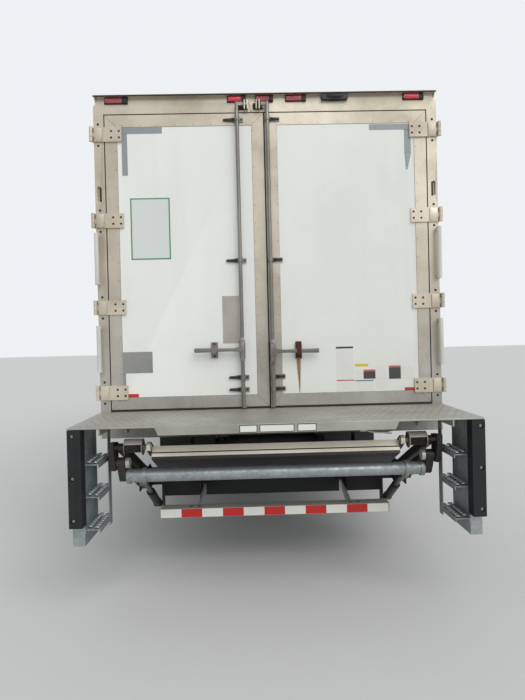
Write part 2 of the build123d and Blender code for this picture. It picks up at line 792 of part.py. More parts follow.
# Lamps on the header; columns: x, half width, depth
lamp_rows = ((-1121, 83, 16), (-218, 66, 16), (-10, 64, 16), (228, 74, 16), (1120, 75, 16), (522, 100, 30))
lamp_height = 46
with BuildPart() as header_lamps:
    for x, half, depth in lamp_rows:
        with BuildSketch(Plane.XZ.offset(-at(0))) as outline:
            with Locations((x, body_top - visor_height - lamp_height / 2)):
                RectangleRounded(half * 2, lamp_height, 12)
        extrude(outline.sketch, amount=depth)
save(header_lamps, "header_lamps")

# Grab bars up the outer corners of the posts; columns: bottom, top
grab_radius = 16
grab_rows = ((1520, 1870), (2175, 2560))
with BuildPart() as grab_bars:
    for side, name in sides:
        for low, high in grab_rows:
            x = side * (half_width - 12)
            bar_z(x, at(-46), (low, high), grab_radius)
            for end in (low + 12, high - 12):
                block((x - 11, x + 11), (at(-46), at(0)), (end - 12, end + 12))
save(grab_bars, "grab_bars")

# Extension plate behind the threshold, with its rear lip and side gussets
plate_slope = 8
lip_height = 58
lip_half = 761
plate_thickness = 10
with BuildPart() as extension_plate:
    side_form((-half_width, half_width), (
        (at(0), floor_top), (at(0), floor_top - plate_thickness),
        (at(-plate_depth), floor_top - plate_slope - plate_thickness), (at(-plate_depth), floor_top - plate_slope),
    ))
    long_form((at(-plate_depth), at(-plate_depth + 12)), (
        (-lip_half, floor_top - plate_slope - 5), (-lip_half + 24, floor_top - plate_slope - lip_height),
        (lip_half - 24, floor_top - plate_slope - lip_height), (lip_half, floor_top - plate_slope - 5),
    ))
    for x in (-1100, -700, 0, 700, 1100):
        side_form((x - 5, x + 5), (
            (at(0), floor_top - 5), (at(0), floor_bottom - 40), (at(-120), floor_top - 60),
            (at(-plate_depth + 6), floor_top - 60), (at(-plate_depth + 6), floor_top - plate_slope - 5),
        ))
save(extension_plate, "extension_plate")

# Side steps: a hanger plate, a rear flange for the bumper, an inner upright and three treads
hanger_x = 1224
flange_outer = 1300
step_inner = 1128
tread_tops = (980, 775, 570)
step_bottom = 455
tread_length = 290
bumper_depth = 80
step_rear = -plate_depth + bumper_depth
step_front = step_rear + tread_length
hanger_top = floor_top - 60
step_top = floor_top - plate_thickness - plate_slope * -step_rear / plate_depth - seat_gap
tread_height = 34
tread_plate = 5
tooth_height = 10
tooth_count = 9


def serrated_edge(top):
    # Side of a tread: a flange with a row of teeth along its top
    pitch = tread_length / tooth_count
    points = [(at(step_rear), top - tread_height)]
    for index in range(tooth_count):
        near = at(step_rear) + index * pitch
        points.append((near, top - tooth_height))
        points.append((near + pitch / 2, top))
    points.append((at(step_front), top - tooth_height))
    points.append((at(step_front), top - tread_height))
    return tuple(points)


for side, name in sides:
    with BuildPart() as steps:
        block(span(side, hanger_x, hanger_x + 6), (at(step_rear), at(step_front)), (step_bottom, hanger_top))
        block(span(side, hanger_x, flange_outer), (at(step_rear), at(step_rear + 6)), (step_bottom, step_top))
        block(
            span(side, hanger_x, flange_outer), (at(step_rear), at(step_front)),
            (hanger_top - 6, step_top),
        )
        block(
            span(side, step_inner, step_inner + 6), (at(step_front - 60), at(step_front)),
            (tread_tops[2] - 60, hanger_top),
        )
        block(
            span(side, step_inner, hanger_x + 6), (at(step_front - 60), at(step_front)),
            (hanger_top - 6, step_top),
        )
        for top in tread_tops:
            block(
                span(side, step_inner, hanger_x + 1), (at(step_rear), at(step_front)),
                (top - tooth_height - tread_plate, top - tooth_height),
            )
            for near in (step_inner, hanger_x - tread_plate):
                side_form(span(side, near, near + tread_plate), serrated_edge(top))
    save(steps, "side_steps_" + name)

# Rubber dock bumpers on the steps' rear flanges
bumper_low = 594
bumper_inner = 1212
with BuildPart() as dock_bumpers:
    for side, name in sides:
        block(
            span(side, bumper_inner, half_width), (at(-plate_depth), at(step_rear)),
            (bumper_low, floor_top - plate_slope - plate_thickness - 3),
        )
        for height in (1162, 900, 640):
            bar_y(side * 1268, (at(-plate_depth) - 1, at(-plate_depth + 30)), height, 16, mode=Mode.SUBTRACT)
save(dock_bumpers, "dock_bumpers")

# Under-ride bar, hung from the tail lift's frame
guard_half = 843
guard_station = -130
guard_low = 448
guard_high = 512
guard_depth = 110
with BuildPart() as underride_bar:
    block((-guard_half, guard_half), (at(guard_station), at(guard_station + 6)), (guard_low, guard_high))
    block((-guard_half, guard_half), (at(guard_station), at(guard_station + guard_depth)), (guard_high - 6, guard_high))
    block((-guard_half, guard_half), (at(guard_station), at(guard_station + guard_depth)), (guard_low, guard_low + 6))
    for side, name in sides:
        side_form(span(side, 560, 572), (
            (at(guard_station + 4), guard_low + 4), (at(guard_station + 4), guard_high - 4),
            (at(60), guard_high + 20), (at(240), 560), (at(300), 560), (at(300), 500), (at(100), guard_low + 4),
        ))
save(underride_bar, "underride_bar")

# Tail lift mechanism. Columns of each pivot: station, height
arm_x = (1010, 1060)
shackle_x = (1066, 1100)
upper_main_pivot = (main_pivot[0], main_pivot[1] + upper_pivot_rise)
upper_arm_pivot = (arm_pivot[0], arm_pivot[1] + upper_pivot_rise)
cross_tube = (-395, 830)
cross_tube_radius = 44.5
pin_radius = 20
arm_half_depth = 38
upper_half_depth = 24
cylinder_foot = (420, 400)
arm_length = hypot(arm_pivot[0] - main_pivot[0], arm_pivot[1] - main_pivot[1])
arm_unit = ((arm_pivot[0] - main_pivot[0]) / arm_length, (arm_pivot[1] - main_pivot[1]) / arm_length)
below_unit = (-arm_unit[1], arm_unit[0])
lug_along = 380
lug_below = 50
cylinder_head = (
    main_pivot[0] + lug_along * arm_unit[0] + lug_below * below_unit[0],
    main_pivot[1] + lug_along * arm_unit[1] + lug_below * below_unit[1],
)


def spot(pivot):
    return (at(pivot[0]), pivot[1])


# Main frame of the lift: cross tube, cheek plates for the arms, and plates bolted to the chassis rails
cheek_x = (996, 1004)
tube_station = main_pivot[0] + 110
with BuildPart() as lift_main_frame:
    block((-1130, 1130), (at(tube_station), at(tube_station + 90)), (560, 690))
    for side, name in sides:
        for near in (cheek_x[0], 1066):
            side_form(span(side, near, near + 8), (
                (at(main_pivot[0] - 50), main_pivot[1] - 50), (at(main_pivot[0] - 50), main_pivot[1] + 150),
                (at(main_pivot[0] + 50), main_pivot[1] + 150), (at(tube_station + 20), 690 - 5),
                (at(tube_station + 20), 560 + 5), (at(main_pivot[0] + 50), main_pivot[1] - 50),
            ))
        for pivot in (main_pivot, upper_main_pivot):
            bar_x(span(side, cheek_x[0], 1074), at(pivot[0]), pivot[1], pin_radius)
        side_form(span(side, rail_outer + seat_gap, rail_outer + 16), (
            (at(rail_rear), frame_top - 20), (at(rail_rear + 420), frame_top - 20),
            (at(rail_rear + 420), frame_bottom + 20), (at(tube_station + 90), 560), (at(tube_station), 560),
            (at(tube_station), 690),
        ))
        side_form(span(side, 908, 920), (
            (at(tube_station + 2), 600), (at(tube_station + 88), 600),
            (at(cylinder_foot[0] + 40), cylinder_foot[1] - 40), (at(cylinder_foot[0] - 40), cylinder_foot[1] - 40),
        ))
        bar_x(span(side, 914, 975), at(cylinder_foot[0]), cylinder_foot[1], pin_radius)
        side_form(span(side, 572 + seat_gap, 586), (
            (at(tube_station + 2), 600), (at(tube_station + 2), 560), (at(200), 480), (at(200), 540),
            (at(tube_station - 60), 640), (at(tube_station + 2), 640),
        ))
save(lift_main_frame, "lift_main_frame")

# Lower arms, joined by the galvanised cross tube with its collars
collar_near = (880, 985)
collar_length = 26
with BuildPart() as lift_arms:
    for side, name in sides:
        link(span(side, arm_x[0], arm_x[1]), spot(main_pivot), spot(arm_pivot), arm_half_depth)
        link(span(side, arm_x[0], arm_x[1]), spot(arm_pivot), spot(cross_tube), arm_half_depth)
        link(span(side, arm_x[0] - 14, arm_x[0]), spot(cylinder_head), spot((
            main_pivot[0] + lug_along * arm_unit[0], main_pivot[1] + lug_along * arm_unit[1],
        )), 30)
        bar_x(
            (span(side, arm_x[0] - 1, arm_x[1] + 1)), at(main_pivot[0]), main_pivot[1],
            pin_radius + running_gap, mode=Mode.SUBTRACT,
        )
        bar_x(
            (span(side, arm_x[0] - 1, arm_x[1] + 1)), at(arm_pivot[0]), arm_pivot[1],
            pin_radius + running_gap, mode=Mode.SUBTRACT,
        )
        for near in collar_near:
            bar_x(span(side, near, near + collar_length), at(cross_tube[0]), cross_tube[1], cross_tube_radius + 9)
    bar_x((-arm_x[0] - 2, arm_x[0] + 2), at(cross_tube[0]), cross_tube[1], cross_tube_radius)
save(lift_arms, "lift_arms")

# Upper arms that keep the shackles level
with BuildPart() as lift_upper_arms:
    for side, name in sides:
        link(span(side, arm_x[0], arm_x[1]), spot(upper_main_pivot), spot(upper_arm_pivot), upper_half_depth + 4)
        for pivot in (upper_main_pivot, upper_arm_pivot):
            bar_x(
                (span(side, arm_x[0] - 1, arm_x[1] + 1)), at(pivot[0]), pivot[1],
                pin_radius + running_gap, mode=Mode.SUBTRACT,
            )
save(lift_upper_arms, "lift_upper_arms")

# Shackles at the arms' rear ends, with a roller on each lower pin, the platform's hinge shaft, its torsion springs
# and their covers
hinge_shaft_radius = 18
spring_near = 884
spring_far = 992
spring_coils = 9
spring_inner = 29
spring_outer = 38
spring_disc = 54
end_disc = 7
cover_thickness = 4
shackle_half = 40
roller_radius = 35
roller_length = 24
pin_near = arm_x[0] - 6
with BuildPart() as lift_shackles:
    for side, name in sides:
        side_form(span(side, shackle_x[0], shackle_x[1]), (
            (at(arm_pivot[0] - shackle_half), arm_pivot[1] - 45), (at(arm_pivot[0] + shackle_half), arm_pivot[1] - 45),
            (at(arm_pivot[0] + 45), arm_pivot[1] + upper_pivot_rise + 32),
            (at(platform_pivot[0] - 34), platform_pivot[1] + 34), (at(platform_pivot[0] - 34), platform_pivot[1] - 34),
        ))
        for pivot in (arm_pivot, upper_arm_pivot):
            bar_x(span(side, pin_near, shackle_x[1]), at(pivot[0]), pivot[1], pin_radius)
        bar_x(span(side, pin_near - roller_length, pin_near + 0.5), at(arm_pivot[0]), arm_pivot[1], roller_radius)
        shaft_y = at(platform_pivot[0])
        shaft_z = platform_pivot[1]
        bar_x(span(side, platform_half_width + 6, shackle_x[1]), shaft_y, shaft_z, hinge_shaft_radius)
        pitch = (spring_far - spring_near) / spring_coils
        with BuildSketch(Plane(origin=(0, shaft_y, shaft_z), x_dir=(side, 0, 0), z_dir=(0, -side, 0))) as coils:
            with BuildLine():
                points = [(spring_near, 0), (spring_near, spring_inner)]
                for index in range(spring_coils):
                    near = spring_near + index * pitch
                    points.append((near + pitch * 0.3, spring_outer))
                    points.append((near + pitch * 0.7, spring_outer))
                    points.append((near + pitch, spring_inner))
                points.append((spring_far, 0))
                Polyline(*points, close=True)
            make_face()
        revolve(coils.sketch, axis=Axis((0, shaft_y, shaft_z), (1, 0, 0)))
        for near in (spring_near - end_disc, spring_far):
            bar_x(span(side, near, near + end_disc), shaft_y, shaft_z, spring_disc)
        with BuildSketch(Plane.YZ.offset(span(side, spring_near - 1, spring_far + 1)[0])) as cover:
            with Locations((shaft_y, shaft_z)):
                Circle(spring_disc)
                Circle(spring_disc - cover_thickness, mode=Mode.SUBTRACT)
                with Locations((0, -spring_disc * 0.6)):
                    Rectangle(spring_disc * 3, spring_disc * 2, mode=Mode.SUBTRACT)
        extrude(cover.sketch, amount=spring_far - spring_near + 2)
save(lift_shackles, "lift_shackles")

# Folded platform: two leaves, one on the other, that slope down and forward from the hinge shaft
platform_angle = -24
slope_y = cos(radians(platform_angle))
slope_z = sin(radians(platform_angle))


def on_platform(along, below):
    return (
        at(platform_pivot[0] + along * slope_y + below * slope_z),
        platform_pivot[1] + along * slope_z - below * slope_y,
    )


with BuildPart() as lift_platform:
    for low, high, reach in (
        (-10, platform_leaf - 10, platform_length),
        (platform_leaf - 4, 2 * platform_leaf - 4, platform_length - 20),
    ):
        side_form((-platform_half_width, platform_half_width), (
            on_platform(34, low), on_platform(reach, low), on_platform(reach, high), on_platform(34, high),
        ))
    side_form((-platform_half_width, platform_half_width), (
        on_platform(reach - 60, platform_leaf - 12), on_platform(reach - 10, platform_leaf - 12),
        on_platform(reach - 10, platform_leaf), on_platform(reach - 60, platform_leaf),
    ))
    for side, name in sides:
        link(
            span(side, platform_half_width - 1, platform_half_width + 26),
            spot(platform_pivot), on_platform(110, 10), 30,
        )
        bar_x(
            span(side, platform_half_width - 200, platform_half_width + 27), at(platform_pivot[0]), platform_pivot[1],
            hinge_shaft_radius + running_gap, mode=Mode.SUBTRACT,
        )
save(lift_platform, "lift_platform")

# Lift cylinders and their rods
rod_length = hypot(cylinder_head[0] - cylinder_foot[0], cylinder_head[1] - cylinder_foot[1])
rod_unit = (
    (cylinder_head[0] - cylinder_foot[0]) / rod_length,
    (cylinder_head[1] - cylinder_foot[1]) / rod_length,
)
cylinder_radius = 33
rod_radius = 18
barrel_end = 340
rod_tail = 265
cylinder_x = 962


def on_cylinder(distance):
    return (at(cylinder_foot[0] + distance * rod_unit[0]), cylinder_foot[1] + distance * rod_unit[1])


with BuildPart() as lift_cylinders:
    for side, name in sides:
        foot = on_cylinder(0)
        start = on_cylinder(40)
        with BuildSketch(Plane(
            origin=(side * cylinder_x, start[0], start[1]), z_dir=(0, rod_unit[0], rod_unit[1]),
        )) as ring:
            Circle(cylinder_radius)
            Circle(rod_radius + running_gap, mode=Mode.SUBTRACT)
        extrude(ring.sketch, amount=barrel_end - 40)
        link(span(side, 936, 988), foot, start, 28)
        bar_x(span(side, 935, 989), foot[0], foot[1], pin_radius + running_gap, mode=Mode.SUBTRACT)
save(lift_cylinders, "lift_cylinders")

with BuildPart() as lift_rods:
    for side, name in sides:
        start = on_cylinder(rod_tail)
        with BuildSketch(Plane(
            origin=(side * cylinder_x, start[0], start[1]), z_dir=(0, rod_unit[0], rod_unit[1]),
        )) as ring:
            Circle(rod_radius)
        extrude(ring.sketch, amount=rod_length - rod_tail)
        head = on_cylinder(rod_length)
        bar_x(span(side, cylinder_x - 20, arm_x[0] - 14 - seat_gap), head[0], head[1], 30)
save(lift_rods, "lift_rods")


# Cab form at an inset from the outer skin: tapered sides, a crowned roof and a raked screen
def cab_form(inset):
    half = cab_width / 2 - inset
    lean = 115
    top = cab_roof - inset
    bottom = cab_floor + inset
    with BuildPart() as form:
        with BuildSketch(Plane.XZ.offset(-at(cab_front))) as section:
            with BuildLine():
                Line((-half, bottom), (half, bottom))
                Line((half, bottom), (half, cab_belt))
                Line((half, cab_belt), (half - lean, cab_roof - 170))
                ThreePointArc(
                    (half - lean, cab_roof - 170), (half - lean - 60, cab_roof - 75 - inset * 0.6),
                    (half - lean - 200, top - 14),
                )
                ThreePointArc((half - lean - 200, top - 14), (0, top), (-half + lean + 200, top - 14))
                ThreePointArc(
                    (-half + lean + 200, top - 14), (-half + lean + 60, cab_roof - 75 - inset * 0.6),
                    (-half + lean, cab_roof - 170),
                )
                Line((-half + lean, cab_roof - 170), (-half, cab_belt))
                Line((-half, cab_belt), (-half, bottom))
            make_face()
        extrude(amount=cab_front - cab_back)
        with BuildSketch(Plane.YZ.offset(-half - 10)) as side_outline:
            with BuildLine():
                Polyline(
                    (at(cab_back + inset), bottom), (at(cab_front - inset), bottom),
                    (at(cab_front - inset), cab_belt - 40), (at(cab_front - 60 - inset), cab_belt + 30),
                    (at(cab_front - 430 - inset * 0.9), cab_roof - 130),
                    (at(cab_front - 560 - inset), cab_roof - 20 - inset),
                    (at(cab_back + 90 + inset), cab_roof + 10 - inset),
                    (at(cab_back + inset), cab_roof - 100),
                    close=True,
                )
            make_face()
        extrude(amount=2 * half + 20, mode=Mode.INTERSECT)
    return form.part


cab_outer = cab_form(0)
cab_inner = cab_form(cab_wall)
glass_outer = cab_form(cab_wall / 2 - glass_thickness / 2)
glass_inner = cab_form(cab_wall / 2 + glass_thickness / 2)

door_low = cab_floor + 60
door_high = cab_roof - 190
lean_back = 250


def door_outline(grow):
    # Side outline of a cab door, grown all round by grow
    return (
        (at(cab_door_rear_station - grow), door_low - grow), (at(door_hinge_station + grow), door_low - grow),
        (at(door_hinge_station + grow), cab_belt + 60), (at(door_hinge_station - lean_back + grow), door_high + grow),
        (at(cab_door_rear_station - grow), door_high + grow),
    )


def window_outline(grow):
    return (
        (at(cab_door_rear_station + 75 - grow), cab_belt + 10 - grow),
        (at(door_hinge_station - 95 + grow), cab_belt + 10 - grow),
        (at(door_hinge_station - 95 + grow), cab_belt + 90),
        (at(door_hinge_station - lean_back - 60 + grow), door_high - 75 + grow),
        (at(cab_door_rear_station + 75 - grow), door_high - 75 + grow),
    )


# Windscreen and rear window openings
screen_low = cab_belt + 70
screen_high = cab_roof - 175
screen_half = 830
with BuildPart() as screen_cut:
    side_form((-screen_half, screen_half), (
        (at(cab_front - 600), screen_low), (at(cab_front + 60), screen_low),
        (at(cab_front + 60), screen_high), (at(cab_front - 600), screen_high),
    ))
rear_window_half = 480
with BuildPart() as rear_window_cut:
    block((-rear_window_half, rear_window_half), (at(cab_back - 50), at(cab_back + 200)), (1900, 2330))

# Cab shell, with the door openings, its rubber mounts on the frame and the fixed halves of the door hinges
cab_mount_stations = (cab_back + 155, cab_front - 125)
cab_mount_length = 90
cab_hinge_heights = (1190, 1610)
cab_hinge_out = 12
cab_hinge_third = 24
cab_pin = (cab_width / 2 + cab_hinge_out, at(door_hinge_station + 2))
cab_pin_radius = 5
cab_barrel_radius = 9
with BuildPart() as cab_shell:
    add(cab_outer)
    add(cab_inner, mode=Mode.SUBTRACT)
    add(screen_cut.part, mode=Mode.SUBTRACT)
    add(rear_window_cut.part, mode=Mode.SUBTRACT)
    for side, name in sides:
        side_form(span(side, cab_width / 2 - 330, cab_width / 2 + 10), door_outline(moving_gap), mode=Mode.SUBTRACT)
        for station in cab_mount_stations:
            block(
                span(side, rail_inner, rail_outer), (at(station), at(station + cab_mount_length)),
                (frame_top + seat_gap, cab_floor + 5),
            )
        for middle in cab_hinge_heights:
            for low in (middle - 1.5 * cab_hinge_third, middle + 0.5 * cab_hinge_third + 1):
                z = (low, low + cab_hinge_third - 1)
                bar_z(side * cab_pin[0], cab_pin[1], z, cab_barrel_radius)
                block(span(side, cab_width / 2 - 5, cab_pin[0]), (cab_pin[1] + 5, cab_pin[1] + 9), z)
                block(span(side, cab_width / 2 - 5, cab_width / 2 + 6), (cab_pin[1] + 5, cab_pin[1] + 70), z)
            bar_z(
                side * cab_pin[0], cab_pin[1],
                (middle - 1.5 * cab_hinge_third, middle + 1.5 * cab_hinge_third), cab_pin_radius,
            )
save(cab_shell, "cab_shell")

# Windscreen and rear window
with BuildPart() as cab_glass:
    add(glass_outer)
    add(glass_inner, mode=Mode.SUBTRACT)
    with BuildPart(mode=Mode.PRIVATE) as openings:
        add(screen_cut.part)
        add(rear_window_cut.part)
    add(openings.part, mode=Mode.INTERSECT)
save(cab_glass, "cab_glass")

# Cab doors: skin and frame as thick as the cab's wall, with the window cut, a mirror and the glass
mirror_behind = 151
mirror_reach = 100
mirror_size = (200, 90)
mirror_z = (1680, 2140)
mirror_corner = 22
mirror_arm = 14
for side, name in sides:
    door_span = span(side, cab_width / 2 - 320, cab_width / 2 + 10)
    with BuildPart() as cab_door:
        side_form(door_span, door_outline(0))
        add(cab_outer, mode=Mode.INTERSECT)
        add(cab_inner, mode=Mode.SUBTRACT)
        side_form(door_span, window_outline(0), mode=Mode.SUBTRACT)
        for middle in cab_hinge_heights:
            z = (middle - 0.5 * cab_hinge_third, middle + 0.5 * cab_hinge_third)
            bar_z(side * cab_pin[0], cab_pin[1], z, cab_barrel_radius)
            block(span(side, cab_width / 2 - 5, cab_width / 2 + 6), (cab_pin[1] - 90, cab_pin[1] - 6), z)
            block(span(side, cab_width / 2 - 5, cab_pin[0]), (cab_pin[1] - 9, cab_pin[1] - 5), z)
            bar_z(
                side * cab_pin[0], cab_pin[1], (z[0] - 1, z[1] + 1),
                cab_pin_radius + running_gap, mode=Mode.SUBTRACT,
            )
    save(cab_door, "cab_door_" + name)
    with BuildPart() as door_glass:
        side_form(door_span, window_outline(0))
        add(glass_outer, mode=Mode.INTERSECT)
        add(glass_inner, mode=Mode.SUBTRACT)
    save(door_glass, "door_glass_" + name)
    with BuildPart() as mirror:
        skin = cab_width / 2
        mirror_y = at(door_hinge_station - mirror_behind)
        block(
            span(side, skin + mirror_reach, skin + mirror_reach + mirror_size[0]),
            (mirror_y - mirror_size[1] / 2, mirror_y + mirror_size[1] / 2), mirror_z,
        )
        fillet(mirror.edges().filter_by(Axis.Z), radius=mirror_corner)
        for height in (mirror_z[0] + 32, mirror_z[1] - 60):
            bar_x(span(side, skin - 60, skin + mirror_reach + 40), mirror_y, height, mirror_arm)
        add(cab_outer, mode=Mode.SUBTRACT)
    save(mirror, "mirror_" + name)

# Inside the cab: two seats, the dashboard and the steering wheel
seat_x = 480
seat_half = 240
seat_rear = cab_back + 235
seat_front = seat_rear + 500
seat_top = cab_floor + cab_wall + 370
cushion_height = 150
back_top = 2150
dash_low = 1350
dash_high = 1720
wheel_radius = 215
wheel_grip = 16
wheel_lean = 0.7
with BuildPart() as seats:
    for x in (-seat_x, seat_x):
        block((x - seat_half, x + seat_half), (at(seat_rear), at(seat_front)), (seat_top - cushion_height, seat_top))
        block(
            (x - seat_half + 40, x + seat_half - 40), (at(seat_rear + 60), at(seat_front - 60)),
            (cab_floor + cab_wall, seat_top - cushion_height + 1),
        )
        side_form((x - seat_half, x + seat_half), (
            (at(seat_rear), seat_top - 20), (at(seat_rear + 120), seat_top - 20),
            (at(seat_rear + 40), back_top), (at(seat_rear - 60), back_top),
        ))
save(seats, "seats")
with BuildPart() as dashboard:
    dash_front = cab_front - cab_wall
    side_form((-cab_width / 2 + cab_wall + 60, cab_width / 2 - cab_wall - 60), (
        (at(dash_front), dash_low), (at(dash_front), dash_high - 30), (at(dash_front - 210), dash_high),
        (at(dash_front - 370), dash_high - 80), (at(dash_front - 330), dash_low),
    ))
    wheel_centre = Vector(-seat_x, at(seat_front), seat_top + 220)
    wheel_axis = Vector(0, -wheel_lean, sqrt(1 - wheel_lean ** 2))
    with Locations(Plane(origin=wheel_centre, z_dir=wheel_axis)):
        Torus(wheel_radius, wheel_grip)
        Cylinder(45, 40)
        Box(2 * wheel_radius - 10, 30, 14)
    with BuildSketch(Plane(origin=wheel_centre, z_dir=wheel_axis * -1)) as column:
        Circle(24)
    extrude(column.sketch, amount=260)
save(dashboard, "dashboard")

# Hood: one shell of bonnet and fenders, lofted from the cab to the grille
hood_rear = cab_front + 15
bonnet_rear_half = 860
bonnet_front_half = 600
bonnet_rear_top = cab_belt - 10
bonnet_front_top = 1560
fender_rear_top = 1235
fender_front_top = 1190
fender_shoulder = 90
bonnet_shoulder = 120
bonnet_crown = 14
hood_nose = 45
grille_half = 470
grille_low = 960
grille_high = 1440
grille_depth = 34
grille_slots = 7
grille_bar = 16
lamp_centre = (840, 1040)
lamp_size = (300, 160)
lamp_corner = 36
lamp_depth = 40
pivot_lug = (330, 420)


def hood_section(y, half, bonnet_half, fender_top, bonnet_top, inset):
    # From the right fender's foot over the bonnet's crown to the left one: lines joined by arcs
    low = hood_bottom - (inset > 0)
    side_x = half - inset
    top_z = fender_top - inset
    shoulder = fender_shoulder - inset * 0.4
    wall_x = bonnet_half - inset
    crown_z = bonnet_top - inset
    curve = bonnet_shoulder - inset * 0.4
    right = (
        ((side_x, low),),
        ((side_x, top_z - shoulder),),
        ((side_x - shoulder * 0.29, top_z - shoulder * 0.29), (side_x - shoulder, top_z)),
        ((wall_x + 60, top_z + 20),),
        ((wall_x + 17, top_z + 37), (wall_x, top_z + 80)),
        ((wall_x - 24, crown_z - curve),),
        ((wall_x - 24 - curve * 0.29, crown_z - curve * 0.29), (wall_x - 24 - curve, crown_z - bonnet_crown)),
    )
    with BuildSketch(Plane.XZ.offset(-y)) as section:
        with BuildLine():
            for mirror_x in (1, -1):
                last = None
                for step in right:
                    points = tuple((mirror_x * x, z) for x, z in step)
                    if last is not None and len(points) == 1:
                        Line(last, points[0])
                    if len(points) == 2:
                        ThreePointArc(last, points[0], points[1])
                    last = points[-1]
            ThreePointArc((last[0], last[1]), (0, crown_z), (-last[0], last[1]))
            Line((-side_x, low), (side_x, low))
        make_face()
    return section.sketch


with BuildPart() as hood:
    rear_y = at(hood_rear)
    front_y = at(hood_front)
    loft(sections=(
        hood_section(rear_y, hood_rear_width / 2, bonnet_rear_half, fender_rear_top, bonnet_rear_top, 0),
        hood_section(front_y, hood_front_width / 2, bonnet_front_half, fender_front_top, bonnet_front_top, 0),
    ))
    loft(sections=(
        hood_section(
            rear_y - 1, hood_rear_width / 2, bonnet_rear_half, fender_rear_top, bonnet_rear_top, hood_shell,
        ),
        hood_section(
            front_y - hood_nose, hood_front_width / 2, bonnet_front_half + 8, fender_front_top,
            bonnet_front_top, hood_shell,
        ),
    ), mode=Mode.SUBTRACT)
    for side, name in sides:
        bar_x(span(side, 600, 1200), at(front_axle_station), axle_height, arch_radius, mode=Mode.SUBTRACT)
    block(
        (-grille_half, grille_half), (front_y - hood_nose - 20, front_y + 10), (grille_low, grille_high),
        mode=Mode.SUBTRACT,
    )
    for side, name in sides:
        with BuildSketch(Plane.XZ.offset(-front_y)) as lamp_hole:
            with Locations((side * lamp_centre[0], lamp_centre[1])):
                RectangleRounded(lamp_size[0], lamp_size[1], lamp_corner)
        extrude(lamp_hole.sketch, amount=hood_nose + 20, mode=Mode.SUBTRACT)
        bar_x(span(side, pivot_lug[0], pivot_lug[1]), at(hood_pivot_station), hood_pivot_height, 20)
        block(
            span(side, pivot_lug[0], pivot_lug[1]), (front_y - 40, at(hood_pivot_station)),
            (hood_pivot_height - 15, hood_pivot_height + 20),
        )
        bar_x(
            span(side, pivot_lug[0] - 1, pivot_lug[1] + 1), at(hood_pivot_station), hood_pivot_height,
            hood_pin_radius + running_gap, mode=Mode.SUBTRACT,
        )
save(hood, "hood")

with BuildPart() as grille:
    block(
        (-grille_half + seat_gap, grille_half - seat_gap), (front_y - grille_depth, front_y - 4),
        (grille_low + seat_gap, grille_high - seat_gap),
    )
    slot_pitch = (grille_high - grille_low - grille_bar) / grille_slots
    for index in range(grille_slots):
        low = grille_low + grille_bar + index * slot_pitch
        block(
            (-grille_half + 20, grille_half - 20), (front_y - grille_depth - 1, front_y),
            (low, low + slot_pitch - grille_bar),
            mode=Mode.SUBTRACT,
        )
    for x in (-grille_half / 3, grille_half / 3):
        block((x - 7, x + 7), (front_y - grille_depth, front_y - 10), (grille_low + 5, grille_high - 5))
save(grille, "grille")
with BuildPart() as headlamps:
    for side, name in sides:
        with BuildSketch(Plane.XZ.offset(-(front_y - lamp_depth))) as lamp:
            with Locations((side * lamp_centre[0], lamp_centre[1])):
                RectangleRounded(
                    lamp_size[0] - 2 * seat_gap, lamp_size[1] - 2 * seat_gap, lamp_corner - seat_gap,
                )
        extrude(lamp.sketch, amount=-lamp_depth + 2)
save(headlamps, "headlamps")

# Front bumper: a pressed channel that wraps round the corners, with a lamp hole each side, and the hood's hinge pins
bumper_half = 1150
bumper_front = hood_front + 65
bumper_top = 798
bumper_wall = 14
bumper_sweep = 30
bumper_sweep_x = 900
bumper_corner = hood_front - 120
bumper_rear = hood_front - 270
fog_x = 690
fog_size = (190, 90)
fog_height = 640
fog_cut = 60
hinge_cheek = 8
with BuildPart() as front_bumper:
    outer_end = at(bumper_front - bumper_sweep)
    inner_end = outer_end - bumper_wall
    inner_half = bumper_half - bumper_wall
    inner_x = bumper_sweep_x - 6
    with BuildSketch(Plane.XY.offset(bumper_bottom)) as plan:
        with BuildLine():
            for mirror_x in (1, -1):
                Polyline(
                    (mirror_x * inner_x, inner_end), (mirror_x * inner_half, at(bumper_corner - 6)),
                    (mirror_x * inner_half, at(bumper_rear)), (mirror_x * bumper_half, at(bumper_rear)),
                    (mirror_x * bumper_half, at(bumper_corner)), (mirror_x * bumper_sweep_x, outer_end),
                )
            ThreePointArc((-bumper_sweep_x, outer_end), (0, at(bumper_front)), (bumper_sweep_x, outer_end))
            ThreePointArc((-inner_x, inner_end), (0, at(bumper_front - bumper_wall)), (inner_x, inner_end))
        make_face()
    extrude(plan.sketch, amount=bumper_top - bumper_bottom)
    for side, name in sides:
        with BuildSketch(Plane.XZ.offset(-at(bumper_front))) as fog:
            with Locations((side * fog_x, fog_height)):
                RectangleRounded(fog_size[0], fog_size[1], 20)
        extrude(fog.sketch, amount=fog_cut, mode=Mode.SUBTRACT)
        near = pivot_lug[0] - 4 - hinge_cheek
        block(
            span(side, near, rail_outer), (at(rail_front + seat_gap), at(bumper_front - bumper_wall - 2)),
            (frame_bottom - 60, frame_bottom + 60),
        )
        block(
            span(side, near + 20, rail_outer - 20), (at(rail_front + 60), at(bumper_front - 5)),
            (frame_bottom - 40, frame_bottom + 40),
        )
        for cheek in (near, pivot_lug[1] + 4):
            block(
                span(side, cheek, cheek + hinge_cheek), (at(hood_pivot_station - 14), at(hood_pivot_station + 14)),
                (frame_bottom + 50, hood_pivot_height),
            )
            bar_x(span(side, cheek, cheek + hinge_cheek), at(hood_pivot_station), hood_pivot_height, 14)
        bar_x(span(side, near, rail_outer), at(hood_pivot_station), hood_pivot_height, hood_pin_radius)
save(front_bumper, "front_bumper")

